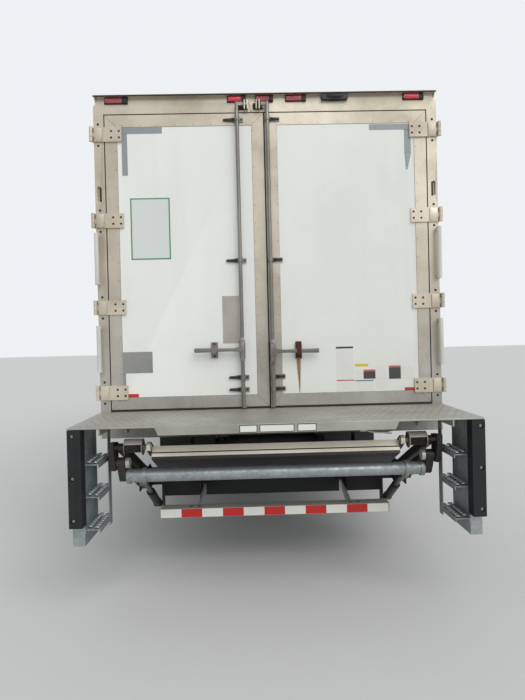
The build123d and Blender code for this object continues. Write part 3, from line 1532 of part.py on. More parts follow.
# Cooling unit on the body's front wall, above the cab: a moulded cover with a louvred grille and side vents
unit_half = 1000
unit_low = 2700
unit_high = 3540
unit_depth = 560
unit_corner = 60
unit_chin = 170
unit_brow = 160
unit_grille_half = 800
unit_grille_depth = 30
louvre_count = 10
louvre_thickness = 7
vent_count = 6
vent_depth = 12
with BuildPart() as cooling_unit:
    unit_front = at(body_length + unit_depth)
    side_form((-unit_half, unit_half), (
        (at(body_length), unit_low), (unit_front - unit_chin, unit_low),
        (unit_front, unit_low + unit_chin), (unit_front, unit_high - unit_brow),
        (unit_front - unit_brow * 0.75, unit_high), (at(body_length), unit_high),
    ))
    side_edges = cooling_unit.faces().filter_by(Axis.X).edges()
    rounded = side_edges.filter_by(lambda edge: edge.center().Y > at(body_length) + 1)
    fillet(rounded, radius=unit_corner)
    grille_z = (unit_low + unit_chin + 50, unit_high - unit_brow - 60)
    block(
        (-unit_grille_half, unit_grille_half), (unit_front - unit_grille_depth, unit_front + 10), grille_z,
        mode=Mode.SUBTRACT,
    )
    louvre_pitch = (grille_z[1] - grille_z[0]) / louvre_count
    for index in range(louvre_count):
        low = grille_z[0] + (index + 0.3) * louvre_pitch
        side_form((-unit_grille_half, unit_grille_half), (
            (unit_front - unit_grille_depth - 1, low + 14), (unit_front - 5, low),
            (unit_front - 5, low + louvre_thickness),
            (unit_front - unit_grille_depth - 1, low + 14 + louvre_thickness),
        ))
    for side, name in sides:
        for index in range(vent_count):
            low = unit_low + 260 + index * 60
            block(
                span(side, unit_half - vent_depth, unit_half + 1),
                (at(body_length + 110), at(body_length + 330)), (low, low + 26), mode=Mode.SUBTRACT,
            )
save(cooling_unit, "cooling_unit")

# Fuel tank under the cab's left door, with straps, brackets and steps, and the battery box on the right
tank_radius = 300
tank_gap = 40
tank_height = 650
tank_stations = (cab_back + 15, cab_back + 975)
tank_end = 30
strap_stations = (cab_back + 185, cab_back + 785)
strap_width = 60
strap_thickness = 5
step_heights = (470, 800)
step_plate = 20
step_proud = 60
cap_radius = 60
cap_station = cab_back + 95
tank_x = -(rail_outer + tank_radius + tank_gap)
with BuildPart() as fuel_tank:
    bar_y(tank_x, (at(tank_stations[0]), at(tank_stations[1])), tank_height, tank_radius)
    fillet(fuel_tank.edges().filter_by(GeomType.CIRCLE), radius=tank_end)
    for station in strap_stations:
        bar_y(tank_x, (at(station), at(station + strap_width)), tank_height, tank_radius + strap_thickness)
        block(
            (tank_x + tank_radius - 20, -rail_outer - seat_gap), (at(station), at(station + strap_width)),
            (frame_bottom, frame_top - 20),
        )
    for height in step_heights:
        block(
            (tank_x - tank_radius - step_proud, tank_x - tank_radius / 2),
            (at(strap_stations[0] + 50), at(strap_stations[1] + 100)), (height - step_plate, height),
        )
    cap_spot = (tank_x - tank_radius / 2, at(cap_station), tank_height + 255)
    with Locations(Plane(origin=cap_spot, z_dir=(-0.5, 0, 0.866))):
        Cylinder(cap_radius, 50)
save(fuel_tank, "fuel_tank")

battery_half = 255
battery_x = rail_outer + 305
battery_stations = (cab_back + 15, cab_back + 935)
battery_z = (430, 900)
with BuildPart() as battery_box:
    block(
        (battery_x - battery_half, battery_x + battery_half),
        (at(battery_stations[0]), at(battery_stations[1])), battery_z,
    )
    fillet(battery_box.edges().filter_by(Axis.Y).sort_by(Axis.X)[-2:], radius=30)
    for station in (battery_stations[0] + 120, battery_stations[1] - 180):
        block(
            (rail_outer + seat_gap, battery_x - battery_half + 5), (at(station), at(station + strap_width)),
            (frame_bottom, frame_top - 20),
        )
    for height in (step_heights[0], step_heights[1] - 80):
        block(
            (battery_x + battery_half - 10, battery_x + battery_half + 90),
            (at(battery_stations[0] + 40), at(battery_stations[1] - 40)), (height - step_plate, height),
        )
save(battery_box, "battery_box")

# Air tanks between the rails, and the silencer with its tail pipe outside the right rail
air_radius = 110
air_x = 275
air_height = 815
air_stations = (frame_member_stations[2] + 100, frame_member_stations[1] - 220)
with BuildPart() as air_tanks:
    for side, name in sides:
        bar_y(side * air_x, (at(air_stations[0]), at(air_stations[1])), air_height, air_radius)
    chamfer(air_tanks.edges().filter_by(GeomType.CIRCLE), length=20)
    for side, name in sides:
        for station in (air_stations[0] + 150, air_stations[1] - 200):
            bar_y(side * air_x, (at(station), at(station + 40)), air_height, air_radius + 4)
            block(
                span(side, air_x + air_radius - 6, web_inside - seat_gap), (at(station), at(station + 40)),
                (air_height - 50, air_height + 50),
            )
save(air_tanks, "air_tanks")
silencer_radius = 130
silencer_x = rail_outer + 190
silencer_height = 760
silencer_stations = (cab_back - 1565, cab_back - 465)
pipe_radius = 50
pipe_rear = 250
pipe_front = 200
tail_length = 460
tail_radius = 44
with BuildPart() as silencer:
    bar_y(silencer_x, (at(silencer_stations[0]), at(silencer_stations[1])), silencer_height, silencer_radius)
    chamfer(silencer.edges().filter_by(GeomType.CIRCLE), length=22)
    pipe_y = (at(silencer_stations[0] - pipe_rear - pipe_radius), at(silencer_stations[1] + pipe_front))
    bar_y(silencer_x, pipe_y, silencer_height, pipe_radius)
    bar_x((silencer_x, silencer_x + tail_length), at(silencer_stations[0] - pipe_rear), silencer_height, tail_radius)
    for station in (silencer_stations[0] + 150, silencer_stations[1] - 200):
        block(
            (rail_outer + seat_gap, silencer_x), (at(station), at(station + strap_width)),
            (silencer_height - 20, frame_top - 40),
        )
save(silencer, "silencer")

# Mud flaps behind the rear wheels, hung from a cross member
flap_member = int((rear_axle_station - tyre_radius - 120 - first_member_station) / cross_member_pitch)
flap_station = first_member_station + flap_member * cross_member_pitch + cross_member_width / 2
with BuildPart() as mud_flaps:
    for side, name in sides:
        x = span(side, rear_inner_x - 160, rear_outer_x + 130)
        block(x, (at(flap_station - 5), at(flap_station + 5)), (260, 980))
        block(x, (at(flap_station - 20), at(flap_station + 20)), (960, floor_bottom - cross_member_height))
save(mud_flaps, "mud_flaps")
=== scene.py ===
import json
import math

import bmesh
import bpy
from mathutils import Matrix, Vector

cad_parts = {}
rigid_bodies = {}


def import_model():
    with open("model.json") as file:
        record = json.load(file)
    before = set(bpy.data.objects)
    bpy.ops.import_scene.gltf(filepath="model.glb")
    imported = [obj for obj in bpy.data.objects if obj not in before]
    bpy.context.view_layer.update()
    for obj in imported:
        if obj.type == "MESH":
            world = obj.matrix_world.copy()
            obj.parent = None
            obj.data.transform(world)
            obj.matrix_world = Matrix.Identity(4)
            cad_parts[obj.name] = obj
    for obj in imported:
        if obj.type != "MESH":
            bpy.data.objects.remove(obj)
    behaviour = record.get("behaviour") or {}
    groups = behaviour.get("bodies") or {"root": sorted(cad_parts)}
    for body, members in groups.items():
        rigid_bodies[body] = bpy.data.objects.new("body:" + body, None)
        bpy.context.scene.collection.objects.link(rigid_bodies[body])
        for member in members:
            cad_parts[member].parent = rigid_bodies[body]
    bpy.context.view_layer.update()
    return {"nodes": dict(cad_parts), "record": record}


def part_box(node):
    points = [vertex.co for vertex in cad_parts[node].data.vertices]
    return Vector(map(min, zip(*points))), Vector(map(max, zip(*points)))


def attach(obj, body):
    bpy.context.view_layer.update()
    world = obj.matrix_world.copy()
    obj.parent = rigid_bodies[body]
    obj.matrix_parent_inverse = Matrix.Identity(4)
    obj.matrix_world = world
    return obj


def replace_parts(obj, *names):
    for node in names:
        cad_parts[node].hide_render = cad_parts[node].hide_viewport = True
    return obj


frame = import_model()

print("frame loaded:", len(frame["nodes"]), "nodes")

# Places that the truck's own pieces give, in metres
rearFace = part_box("extension_plate")[1].y
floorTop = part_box("extension_plate")[1].z
sides = ((-1, "left"), (1, "right"))
rearward, ahead, upward = (0, -1, 0), (0, 1, 0), (0, 0, 1)


class Wire:
    # A shader socket that takes sums, differences and products
    def __init__(self, tree, socket):
        self.tree = tree
        self.socket = socket

    def make(self, kind, settings=None, inputs=None, out=0):
        node = self.tree.nodes.new("ShaderNode" + kind)
        for key, value in (settings or {}).items():
            setattr(node, key, value)
        for key, value in (inputs or {}).items():
            if isinstance(value, Wire):
                self.tree.links.new(value.socket, node.inputs[key])
            else:
                node.inputs[key].default_value = value
        return Wire(self.tree, node.outputs[out])

    def maths(self, operation, first, second):
        return self.make("Math", {"operation": operation}, {0: first, 1: second})

    def __add__(self, other):
        return self.maths("ADD", self, other)

    __radd__ = __add__

    def __sub__(self, other):
        return self.maths("SUBTRACT", self, other)

    def __rsub__(self, other):
        return self.maths("SUBTRACT", other, self)

    def __mul__(self, other):
        return self.maths("MULTIPLY", self, other)

    __rmul__ = __mul__

    def clamp(self, low, high):
        return self.make("MapRange", {"clamp": True}, {0: self, 1: low, 2: high, 3: 0.0, 4: 1.0})


def linear(red, green, blue):
    # A screen colour from 0 to 255, as the shader counts it
    shares = (c / 255 for c in (red, green, blue))
    return tuple(c / 12.92 if c <= 10 / 255 else ((c + 0.055) / 1.055) ** 2.4 for c in shares)


class Finish(Wire):
    # A material under construction: a Principled shader with its pattern coordinates
    def __init__(self, name, **sockets):
        self.material = bpy.data.materials.new(name)
        self.material.use_nodes = True
        super().__init__(self.material.node_tree, None)
        self.shader = self.tree.nodes["Principled BSDF"]
        for key, value in sockets.items():
            self.shader.inputs[key.replace("_", " ")].default_value = value
        self.place = self.make("TexCoord", out=3)

    def stretched(self, scale=(1, 1, 1)):
        return self.make("Mapping", {}, {0: self.place, 3: scale})

    def noise(self, scale, detail=4.0, roughness=0.6, stretch=(1, 1, 1)):
        return self.make("TexNoise", {}, {
            "Vector": self.stretched(stretch), "Scale": scale, "Detail": detail, "Roughness": roughness,
        })

    def cells(self, scale):
        # Cells of one random colour each
        return self.make("TexVoronoi", {}, {"Vector": self.stretched(), "Scale": scale}, 1)

    def axis(self, which):
        return self.make("SeparateXYZ", {}, {0: self.place}, out="XYZ".index(which))

    def blend(self, factor, first, second):
        first, second = ((*c, 1) if isinstance(c, tuple) else c for c in (first, second))
        return self.make("Mix", {"data_type": "RGBA"}, {0: factor, 6: first, 7: second}, 2)

    def feed(self, **wires):
        for key, wire in wires.items():
            self.tree.links.new(wire.socket, self.shader.inputs[key.replace("_", " ")])
        return self

    def bump(self, height, strength, distance):
        bump = self.make("Bump", {}, {"Strength": strength, "Distance": distance, "Height": height})
        return self.feed(Normal=bump)


def painted(name, color, dirt, roughness=0.35, grime=0.5):
    # Paint with uneven dust, streaks that run down, and a little orange peel
    f = Finish(name, Metallic=0.0, IOR=1.5)
    cloud = f.noise(1.6, 6.0).clamp(0.42, 0.78)
    runs = f.noise(6.0, 5.0, 0.65, (1, 1, 0.05)).clamp(0.5, 0.85)
    soil = (cloud * 0.55 + runs * 0.45) * grime
    f.feed(Base_Color=f.blend(soil, linear(*color), linear(*dirt)), Roughness=soil * 0.3 + roughness)
    return f.bump(f.noise(900, 2.0), 0.12, 0.0006).material


def dullMetal(name, color, dark, roughness=0.42, metal=0.7, grain=(1, 1, 0.02), grainScale=420, low=None):
    # Rolled or extruded metal with a grain along its length and dull patches. low is a pair of colours
    # for the part below 2.3 m, where road film lies on it
    f = Finish(name, Metallic=metal)
    patch = f.noise(2.4, 7.0, 0.62).clamp(0.35, 0.75)
    lines = f.noise(grainScale, 3.0, 0.6, grain)
    worn = patch * 0.7 + lines * 0.25
    tone = f.blend(worn, linear(*color), linear(*dark))
    rough = patch * 0.18 + lines * 0.12 + (roughness - 0.1)
    if low:
        film = 1 - f.axis("Z").clamp(1.25, 2.3)
        tone = f.blend(film, tone, f.blend(worn, linear(*low[0]), linear(*low[1])))
        rough = rough + film * 0.08
    return f.feed(Base_Color=tone, Roughness=rough).bump(lines, 0.18, 0.0006).material


def galvanised(name, color, dark, roughness=0.42):
    # Hot-dip zinc: cells of spangle under a dull bloom
    f = Finish(name, Metallic=0.65)
    spangle = f.cells(55)
    tone = f.make("SeparateColor", {}, {0: spangle}, 0)
    bloom = f.noise(5.5, 7.0, 0.65).clamp(0.4, 0.75)
    f.feed(
        Base_Color=f.blend(tone * 0.35 + bloom * 0.5, linear(*color), linear(*dark)),
        Roughness=tone * 0.14 + bloom * 0.16 + (roughness - 0.08),
    )
    return f.bump(f.noise(240, 4.0), 0.16, 0.0008).material


def moulded(name, color, worn, roughness=0.6, scale=340.0, depth=0.0012, wear=0.5):
    # Rubber or plastic with a fine grain and paler, dusty wear
    f = Finish(name, Metallic=0.0)
    rub = f.noise(7.0, 8.0, 0.7).clamp(0.48, 0.8) * wear
    f.feed(Base_Color=f.blend(rub, linear(*color), linear(*worn)), Roughness=rub * 0.25 + roughness)
    return f.bump(f.noise(scale, 3.0), 0.22, depth).material


def lens(name, color, dark, roughness=0.12, ribs=260.0):
    # Coloured or clear plastic with upright ribs
    f = Finish(name, Metallic=0.0, IOR=1.49, Roughness=roughness, Coat_Weight=0.6)
    ridge = f.make("TexWave", {"wave_type": "BANDS", "bands_direction": "X"}, {
        "Vector": f.place, "Scale": ribs, "Distortion": 0.0,
    }, 1)
    f.feed(Base_Color=f.blend(ridge * 0.5, linear(*color), linear(*dark)))
    return f.bump(ridge, 0.3, 0.0012).material


def windowGlass(name, color):
    f = Finish(name, Metallic=0.0, Roughness=0.03, IOR=1.5)
    haze = f.noise(3.0, 5.0).clamp(0.5, 0.85)
    f.feed(
        Base_Color=f.blend(haze * 0.3, linear(*color), linear(150, 160, 160)),
        Alpha=haze * 0.12 + 0.42,
    )
    f.material.surface_render_method = "BLENDED"
    return f.material


class Shape:
    # A mesh under construction, in millimetres: x to the right, y forward of the rear face, z up
    def __init__(self):
        self.bm = bmesh.new()

    def soften(self, verts, radius, steps=2, corners=0):
        # Rounds the edges at these points that belong to a face with more than so many corners
        edges = {edge for vert in verts for edge in vert.link_edges}
        rims = [edge for edge in edges if any(len(face.verts) > corners for face in edge.link_faces)]
        bmesh.ops.bevel(
            self.bm, geom=rims, offset=radius, offset_type="OFFSET", segments=steps, profile=0.5,
            affect="EDGES", material=-1, clamp_overlap=True,
        )

    def box(self, x, y, z, soft=0.0, steps=2, turn=None):
        # turn is an angle and an axis, about the box's own middle
        low = Vector((min(x), min(y), min(z)))
        high = Vector((max(x), max(y), max(z)))
        spin = Matrix.Rotation(math.radians(turn[0]), 4, turn[1]) if turn else Matrix.Identity(4)
        place = Matrix.Translation((low + high) / 2) @ spin @ Matrix.Diagonal((*(high - low), 1))
        made = bmesh.ops.create_cube(self.bm, size=1.0, matrix=place)["verts"]
        if soft:
            self.soften(made, soft, steps)

    def pair(self, x, *rest):
        # A box on each side of the truck
        for side in (-1, 1):
            self.box((side * x[0], side * x[1]), *rest)

    def bar(self, start, end, radius, far=None, sides=20, soft=0.0):
        start, end = Vector(start), Vector(end)
        turn = (end - start).to_track_quat("Z", "Y").to_matrix().to_4x4()
        place = Matrix.Translation((start + end) / 2) @ turn
        made = bmesh.ops.create_cone(
            self.bm, cap_ends=True, segments=sides, radius1=radius, radius2=radius if far is None else far,
            depth=(end - start).length, matrix=place,
        )["verts"]
        if soft:
            self.soften(made, soft, corners=4)

    def turned(self, rows, start, axis, steps=48, closed=False):
        # A form turned about a line. Rows: distance along the line, radius
        start, axis = Vector(start), Vector(axis).normalized()
        side = axis.orthogonal().normalized()
        verts = [self.bm.verts.new(start + axis * along + side * radius) for along, radius in rows]
        ends = verts[1:] + ([verts[0]] if closed else [])
        edges = [self.bm.edges.new(pair) for pair in zip(verts, ends)]
        bmesh.ops.spin(
            self.bm, geom=verts + edges, cent=start, axis=axis, angle=math.tau, steps=steps, use_merge=True,
        )

    def slab(self, points, axis, low, high, soft=0.0):
        # An outline of two-number points, as thick as low to high along the axis x, y or z
        corners = [list(point) for point in points]
        for corner in corners:
            corner.insert("xyz".index(axis), low)
        face = self.bm.faces.new([self.bm.verts.new(corner) for corner in corners])
        made = bmesh.ops.extrude_face_region(self.bm, geom=[face])["geom"]
        moved = [item for item in made if isinstance(item, bmesh.types.BMVert)]
        shift = Vector([high - low if letter == axis else 0 for letter in "xyz"])
        bmesh.ops.translate(self.bm, vec=shift, verts=moved)
        if soft:
            self.soften(moved + list(face.verts), soft)

    def tube(self, points, radius, cyclic=False):
        # A round pipe along a smooth line through the points' hull
        curve = bpy.data.curves.new("route", "CURVE")
        curve.dimensions = "3D"
        curve.bevel_depth = radius
        curve.bevel_resolution = 3
        curve.resolution_u = 6
        curve.use_fill_caps = True
        spline = curve.splines.new("NURBS")
        spline.points.add(len(points) - 1)
        for point, place in zip(spline.points, points):
            point.co = (*place, 1)
        spline.order_u = 3
        spline.use_endpoint_u = not cyclic
        spline.use_cyclic_u = cyclic
        carrier = bpy.data.objects.new("route", curve)
        mesh = bpy.data.meshes.new_from_object(carrier)
        self.bm.from_mesh(mesh)
        bpy.data.objects.remove(carrier)
        bpy.data.curves.remove(curve)
        bpy.data.meshes.remove(mesh)

    def bolt(self, place, axis, radius=8, height=5):
        # A hexagon head on a washer
        place, axis = Vector(place), Vector(axis).normalized()
        self.bar(place, place + axis * height * 0.3, radius * 1.5, sides=20)
        self.bar(place, place + axis * height, radius, sides=6)

    def rivet(self, place, axis, radius=5, height=2.5):
        place, axis = Vector(place), Vector(axis).normalized()
        self.bar(place - axis * 0.5, place + axis * height, radius, radius * 0.45, sides=10)

    def make(self, name, slot, finish=None, body="chassis", smooth=38):
        # The finish is the slot's own unless another is given
        bmesh.ops.recalc_face_normals(self.bm, faces=self.bm.faces)
        toFrame(self.bm)
        return settle(self.bm, name, finish or finishes[slot], body, smooth)


def shapes(count):
    return [Shape() for _ in range(count)]


def placed(name, data):
    # An object with this data, in the scene
    item = bpy.data.objects.new(name, data)
    bpy.context.scene.collection.objects.link(item)
    return item


def toFrame(bm):
    # From millimetres forward of the rear face to metres in the shared frame
    bmesh.ops.scale(bm, vec=(0.001, 0.001, 0.001), verts=bm.verts)
    bmesh.ops.translate(bm, vec=(0, rearFace, 0), verts=bm.verts)


def settle(bm, name, finish, body, smooth=38):
    # Turns a finished bmesh into a piece that rides on a body
    mesh = bpy.data.meshes.new(name)
    bm.to_mesh(mesh)
    bm.free()
    mesh.shade_smooth()
    mesh.set_sharp_from_angle(angle=math.radians(smooth))
    for material in finish if isinstance(finish, (list, tuple)) else (finish,):
        mesh.materials.append(material)
    piece = placed(name, mesh)
    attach(piece, body)
    return piece


bodies = frame["record"]["behaviour"]["bodies"]
bodyOf = {node: body for body, nodes in bodies.items() for node in nodes}


def polish(node, width=0.0, smooth=32, choose=None, others=()):
    # A smooth copy of a CAD piece with softened edges. choose picks a face's finish by middle and normal
    bm = bmesh.new()
    bm.from_mesh(frame["nodes"][node].data)
    bmesh.ops.remove_doubles(bm, verts=bm.verts, dist=0.00002)
    bmesh.ops.dissolve_limit(bm, angle_limit=math.radians(0.4), verts=bm.verts, edges=bm.edges)
    if choose:
        for face in bm.faces:
            face.material_index = choose(face.calc_center_median(), face.normal)
    finish = [finishes[slotOf[node]], *others]
    piece = settle(bm, node + "_finish", finish, bodyOf[node], smooth)
    if width:
        edge = piece.modifiers.new("softEdges", "BEVEL")
        edge.width = width / 1000
        edge.segments = 2
        edge.limit_method = "ANGLE"
        edge.angle_limit = math.radians(smooth)
        edge.use_clamp_overlap = True
        edge.harden_normals = True
    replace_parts(piece, node)


print("finishes: making materials")
finishes = {
    "frame_paint": painted("chassisPaint", (34, 35, 37), (92, 86, 78), 0.5, 0.7),
    "engine_iron": moulded("engineIron", (88, 88, 86), (60, 54, 48), 0.55, 160, 0.002),
    "tank_aluminium": dullMetal("tankAluminium", (196, 198, 200), (140, 142, 144), 0.26, 0.9, (1, 0.02, 1)),
    "bumper_steel": painted("bumperWhite", (226, 226, 222), (160, 156, 146), 0.28, 0.4),
    "cab_paint": painted("cabWhite", (232, 232, 229), (186, 183, 174), 0.18, 0.3),
    "window_glass": windowGlass("tintedGlass", (52, 64, 66)),
    "seat_fabric": moulded("seatCloth", (52, 54, 60), (84, 86, 92), 0.85, 700, 0.002),
    "dash_plastic": moulded("dashPlastic", (46, 47, 49), (70, 70, 70), 0.55, 900, 0.0005),
    "box_skin": painted("bodyWhite", (225, 226, 221), (182, 180, 170), 0.25, 0.4),
    "box_steel": painted("floorSteel", (70, 72, 74), (104, 98, 88), 0.55, 0.7),
    "frame_aluminium": dullMetal(
        "frameAluminium", (214, 204, 186), (160, 149, 132), metal=0.55,
        low=((186, 184, 176), (132, 129, 121)),
    ),
    "lamp_red": lens("redLens", (158, 22, 36), (76, 6, 16)),
    "grab_white": painted("grabWhite", (206, 205, 198), (120, 114, 104), 0.35, 0.6),
    "plate_steel": dullMetal("plateSteel", (184, 183, 174), (136, 135, 126), 0.45, 0.5, (0.02, 1, 1)),
    "galvanised": galvanised("galvanised", (176, 184, 184), (128, 134, 134)),
    "bumper_rubber": moulded("blackRubber", (15, 17, 19), (52, 50, 47), 0.6, 300, 0.0015, 0.3),
    "guard_paint": painted("guardPaint", (190, 188, 180), (110, 104, 94), 0.4, 0.7),
    "lift_black": painted("liftBlack", (24, 24, 25), (80, 72, 62), 0.42, 0.6),
    "lift_zinc": galvanised("liftZinc", (150, 148, 140), (84, 80, 74), 0.4),
    "unit_white": painted("unitWhite", (228, 228, 224), (170, 168, 160), 0.3, 0.4),
    "grille_black": moulded("grilleBlack", (30, 31, 32), (70, 70, 68), 0.45, 600, 0.0005, 0.3),
    "lamp_clear": lens("clearLens", (225, 228, 230), (168, 172, 176), 0.06, 140),
    "mirror_black": moulded("mirrorBlack", (28, 29, 30), (58, 58, 56), 0.5, 700, 0.0005, 0.3),
    "door_white": painted("doorWhite", (228, 229, 222), (196, 193, 182), 0.3, 0.45),
    "lock_zinc": dullMetal("lockZinc", (150, 148, 140), (104, 100, 92), 0.4, 0.75),
    "wheel_white": painted("wheelWhite", (214, 214, 208), (120, 112, 98), 0.35, 0.8),
    "tyre_rubber": moulded("tyreRubber", (30, 31, 32), (78, 74, 68), 0.72, 420, 0.0012, 0.5),
}
slotOf = {part["node"]: part["material_slot"] for part in frame["record"]["subparts"]}
for nodeName, node in frame["nodes"].items():
    node.data.materials.clear()
    node.data.materials.append(finishes[slotOf[nodeName]])

print("polishing: smooth copies of the cad pieces")
hingeSteel = dullMetal("hingeSteel", (222, 210, 190), (158, 148, 130), 0.42, 0.45, (1, 1, 1), 90)
# A lighter copy of the frame aluminium: painted highlight on the platform's rear-facing faces and its rear
# edge
paintedHighlightAlloy = dullMetal("paintedHighlightAlloy", (246, 238, 220), (206, 196, 176), 0.36, 0.25, (0.02, 1, 1))
springIron = painted("springIron", (30, 28, 27), (78, 68, 58), 0.4, 0.6)
darkSteel = painted("darkSteel", (34, 33, 33), (80, 72, 62), 0.42, 0.6)
coverSteel = dullMetal("coverSteel", (226, 220, 208), (150, 142, 130), 0.36, 0.35, (1, 1, 1), 60)
blackPaint = painted("blackPaint", (22, 22, 23), (58, 54, 48), 0.4, 0.5)
chrome = dullMetal("chrome", (224, 226, 228), (180, 184, 188), 0.16, 0.95, (1, 1, 1), 60)


def doorFace(middle, normal):
    if middle.y < rearFace - 0.0015:
        return 2
    if middle.y < rearFace + 0.0028 or abs(normal.y) < 0.5:
        return 1
    return 0


def frameFace(middle, normal):
    proud = middle.y < rearFace - 0.0008 and middle.z < floorTop + 2.25
    return 1 if proud or abs(middle.x) > 1.2955 else 0


def armFace(middle, normal):
    return 0 if abs(middle.x) < 1.0095 and middle.y < rearFace - 0.33 else 1


shaftStation, shaftHeight = -500, 1045
liftShaft = Vector((rearFace + shaftStation / 1000, shaftHeight / 1000))


def shackleFace(middle, normal):
    radius = (Vector((middle.y, middle.z)) - liftShaft).length
    if abs(middle.x) > 1.02:
        return 2
    if 0.8835 < abs(middle.x) < 0.9925:
        return 1 if radius < 0.0395 else 3
    return 0


# Faces turned rearward above the shaft take the lighter copy, a painted highlight
def platformFace(middle, normal):
    return 1 if normal.y < -0.3 and middle.z > 1.005 else 0


def headerFace(middle, normal):
    return 1 if 0.4 < middle.x < 0.64 else 0


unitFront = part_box("cooling_unit")[1].y


def unitFace(middle, normal):
    inside = abs(middle.x) < 0.801 and 2.915 < middle.z < 3.325 and middle.y > unitFront - 0.06
    return 1 if inside and middle.y < unitFront - 0.002 else 0


for node in ("door_left", "door_right"):
    polish(node, 1.6, choose=doorFace, others=(finishes["frame_aluminium"], hingeSteel))
polish("rear_frame", 1.6, choose=frameFace, others=(hingeSteel,))
polish("lift_arms", 2.0, choose=armFace, others=(darkSteel,))
polish("lift_shackles", 0.0, choose=shackleFace, others=(springIron, darkSteel, coverSteel))
polish("lift_platform", 2.0, choose=platformFace, others=(paintedHighlightAlloy,))
polish("header_lamps", 3.0, choose=headerFace, others=(blackPaint,))
polish("cooling_unit", 3.0, choose=unitFace, others=(finishes["grille_black"],))

# Softened edges. Columns: width in millimetres, nodes
for width, nodes in (
    (0.0, "box_front_wall"), (0.8, "lock_bar_left lock_bar_right"), (1.0, "lift_rods"),
    (1.2, "side_steps_left side_steps_right"),
    (1.5, "grab_bars lift_cylinders box_floor grille fuel_tank air_tanks silencer"),
    (1.5, "wheel_front_left wheel_front_right wheel_rear_left wheel_rear_right"),
    (2.0, "underride_bar lift_main_frame lift_upper_arms frame_rails front_axle rear_axle"),
    (2.0, "propeller_shaft knuckle_left knuckle_right tie_rod mud_flaps"),
    (2.5, "extension_plate cab_door_left cab_door_right"),
    (3.0, "box_roof cab_shell hood headlamps front_bumper battery_box"),
    (4.0, "mirror_left mirror_right"), (6.0, "dock_bumpers dashboard"), (8.0, "engine_block"),
):
    for node in nodes.split():
        polish(node, width)

print("wheels: tyres with tread, nuts and hubs")
tyreSizes = {
    "radius": 466, "base": 455, "axle": 466, "rows": 5, "blocks": 52, "gap": 0.16, "slant": 0.012,
    "ribWidth": 36, "ribPitch": 43, "steps": 104,
}
# Half of a tyre's section. Columns: distance from the middle, radius
tyreHalf = (
    (101, 294), (101, 306), (110, 316), (118, 336), (121, 338), (126, 362), (127.5, 384), (126.5, 402),
    (124, 414), (119, 430), (118, 436), (112, 448), (102, 455),
)


def station(y):
    # Metres in the shared frame to millimetres forward of the rear face
    return (y - rearFace) * 1000


frontAxle, rearAxle = (
    station((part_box(node)[0].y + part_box(node)[1].y) / 2) for node in ("tyre_front_left", "tyre_rear_left")
)


def addTyre(shape, x, y, block):
    t = tyreSizes
    rows = [(-a, r) for a, r in tyreHalf] + [(a, r) for a, r in reversed(tyreHalf)]
    shape.turned(rows, (x, y, t["axle"]), (1, 0, 0), t["steps"], closed=True)
    for row in range(t["rows"]):
        middle = (row - (t["rows"] - 1) / 2) * t["ribPitch"]
        edge = 6 if abs(middle) > 70 else 0
        for index in range(t["blocks"]):
            turn = math.tau * (index + (0.5 if row % 2 else 0)) / t["blocks"]
            reach = math.tau / t["blocks"] * (1 - t["gap"] * block) / 2
            corners = []
            for radius in (t["base"] - 6, t["radius"] - edge * 0.4):
                for angle in (turn - reach, turn + reach):
                    for side in (-0.5, 0.5):
                        around = angle + t["slant"] * side * block
                        corners.append(shape.bm.verts.new((
                            x + middle + side * (t["ribWidth"] - (4 if radius > t["base"] else 0)),
                            y + radius * math.cos(around), t["axle"] + radius * math.sin(around),
                        )))
            for quad in ((0, 1, 3, 2), (4, 6, 7, 5), (0, 4, 5, 1), (2, 3, 7, 6), (0, 2, 6, 4), (1, 5, 7, 3)):
                shape.bm.faces.new([corners[i] for i in quad])


# Tyres. Columns: axle, its station, how open the tread is, the x of each tyre
for axle, y, block, places in (
    ("front", frontAxle, 0.45, (1025,)), ("rear", rearAxle, 1.0, (749, 1079)),
):
    for side, word in sides:
        node, shape = "tyre_%s_%s" % (axle, word), Shape()
        for x in sorted(side * x for x in places):
            addTyre(shape, x, y, block)
        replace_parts(shape.make(node + "_treaded", "tyre_rubber", body=bodyOf[node], smooth=30), node)

# Wheel faces. Columns: axle, its station, disc face x, hub end x, hub radius, nut seat, cap finish
wheelRows = (
    ("front", frontAxle, 1085, 1145, 90, 24, chrome), ("rear", rearAxle, 928, 1074, 110, 34, darkSteel),
)
wheelHeight, nutRing = tyreSizes["axle"], 142
for axle, y, face, hubEnd, hubRadius, seat, capFinish in wheelRows:
    for side, word in sides:
        node = "wheel_%s_%s" % (axle, word)
        nuts, cap = shapes(2)
        for index in range(10):
            turn = math.tau * index / 10
            spot = Vector((
                side * (face + seat), y + nutRing * math.cos(turn), wheelHeight + nutRing * math.sin(turn),
            ))
            nuts.bar(spot, spot + Vector((side * 16, 0, 0)), 19, sides=6, soft=1.5)
            nuts.bar(spot - Vector((side * 3, 0, 0)), spot + Vector((side * 4, 0, 0)), 23, sides=24)
        for index in range(8):
            turn = math.tau * (index + 0.5) / 8
            ring = hubRadius - 18
            spot = Vector((side * hubEnd, y + ring * math.cos(turn), wheelHeight + ring * math.sin(turn)))
            nuts.bolt(spot, (side, 0, 0), 8, 7)
        cap.turned(
            ((0, hubRadius - 34), (14, hubRadius - 36), (26, hubRadius - 46), (32, hubRadius - 62), (33, 0)),
            (side * hubEnd, y, wheelHeight), (side, 0, 0), 40,
        )
        valve = Vector((side * (face + 6), y + 214, wheelHeight))
        cap.bar(valve, valve + Vector((side * 46, -6, 8)), 5, sides=10)
        nuts.make(node + "_nuts", "lift_zinc", body=bodyOf[node])
        cap.make(node + "_hub_cap", "lift_zinc", capFinish, bodyOf[node])

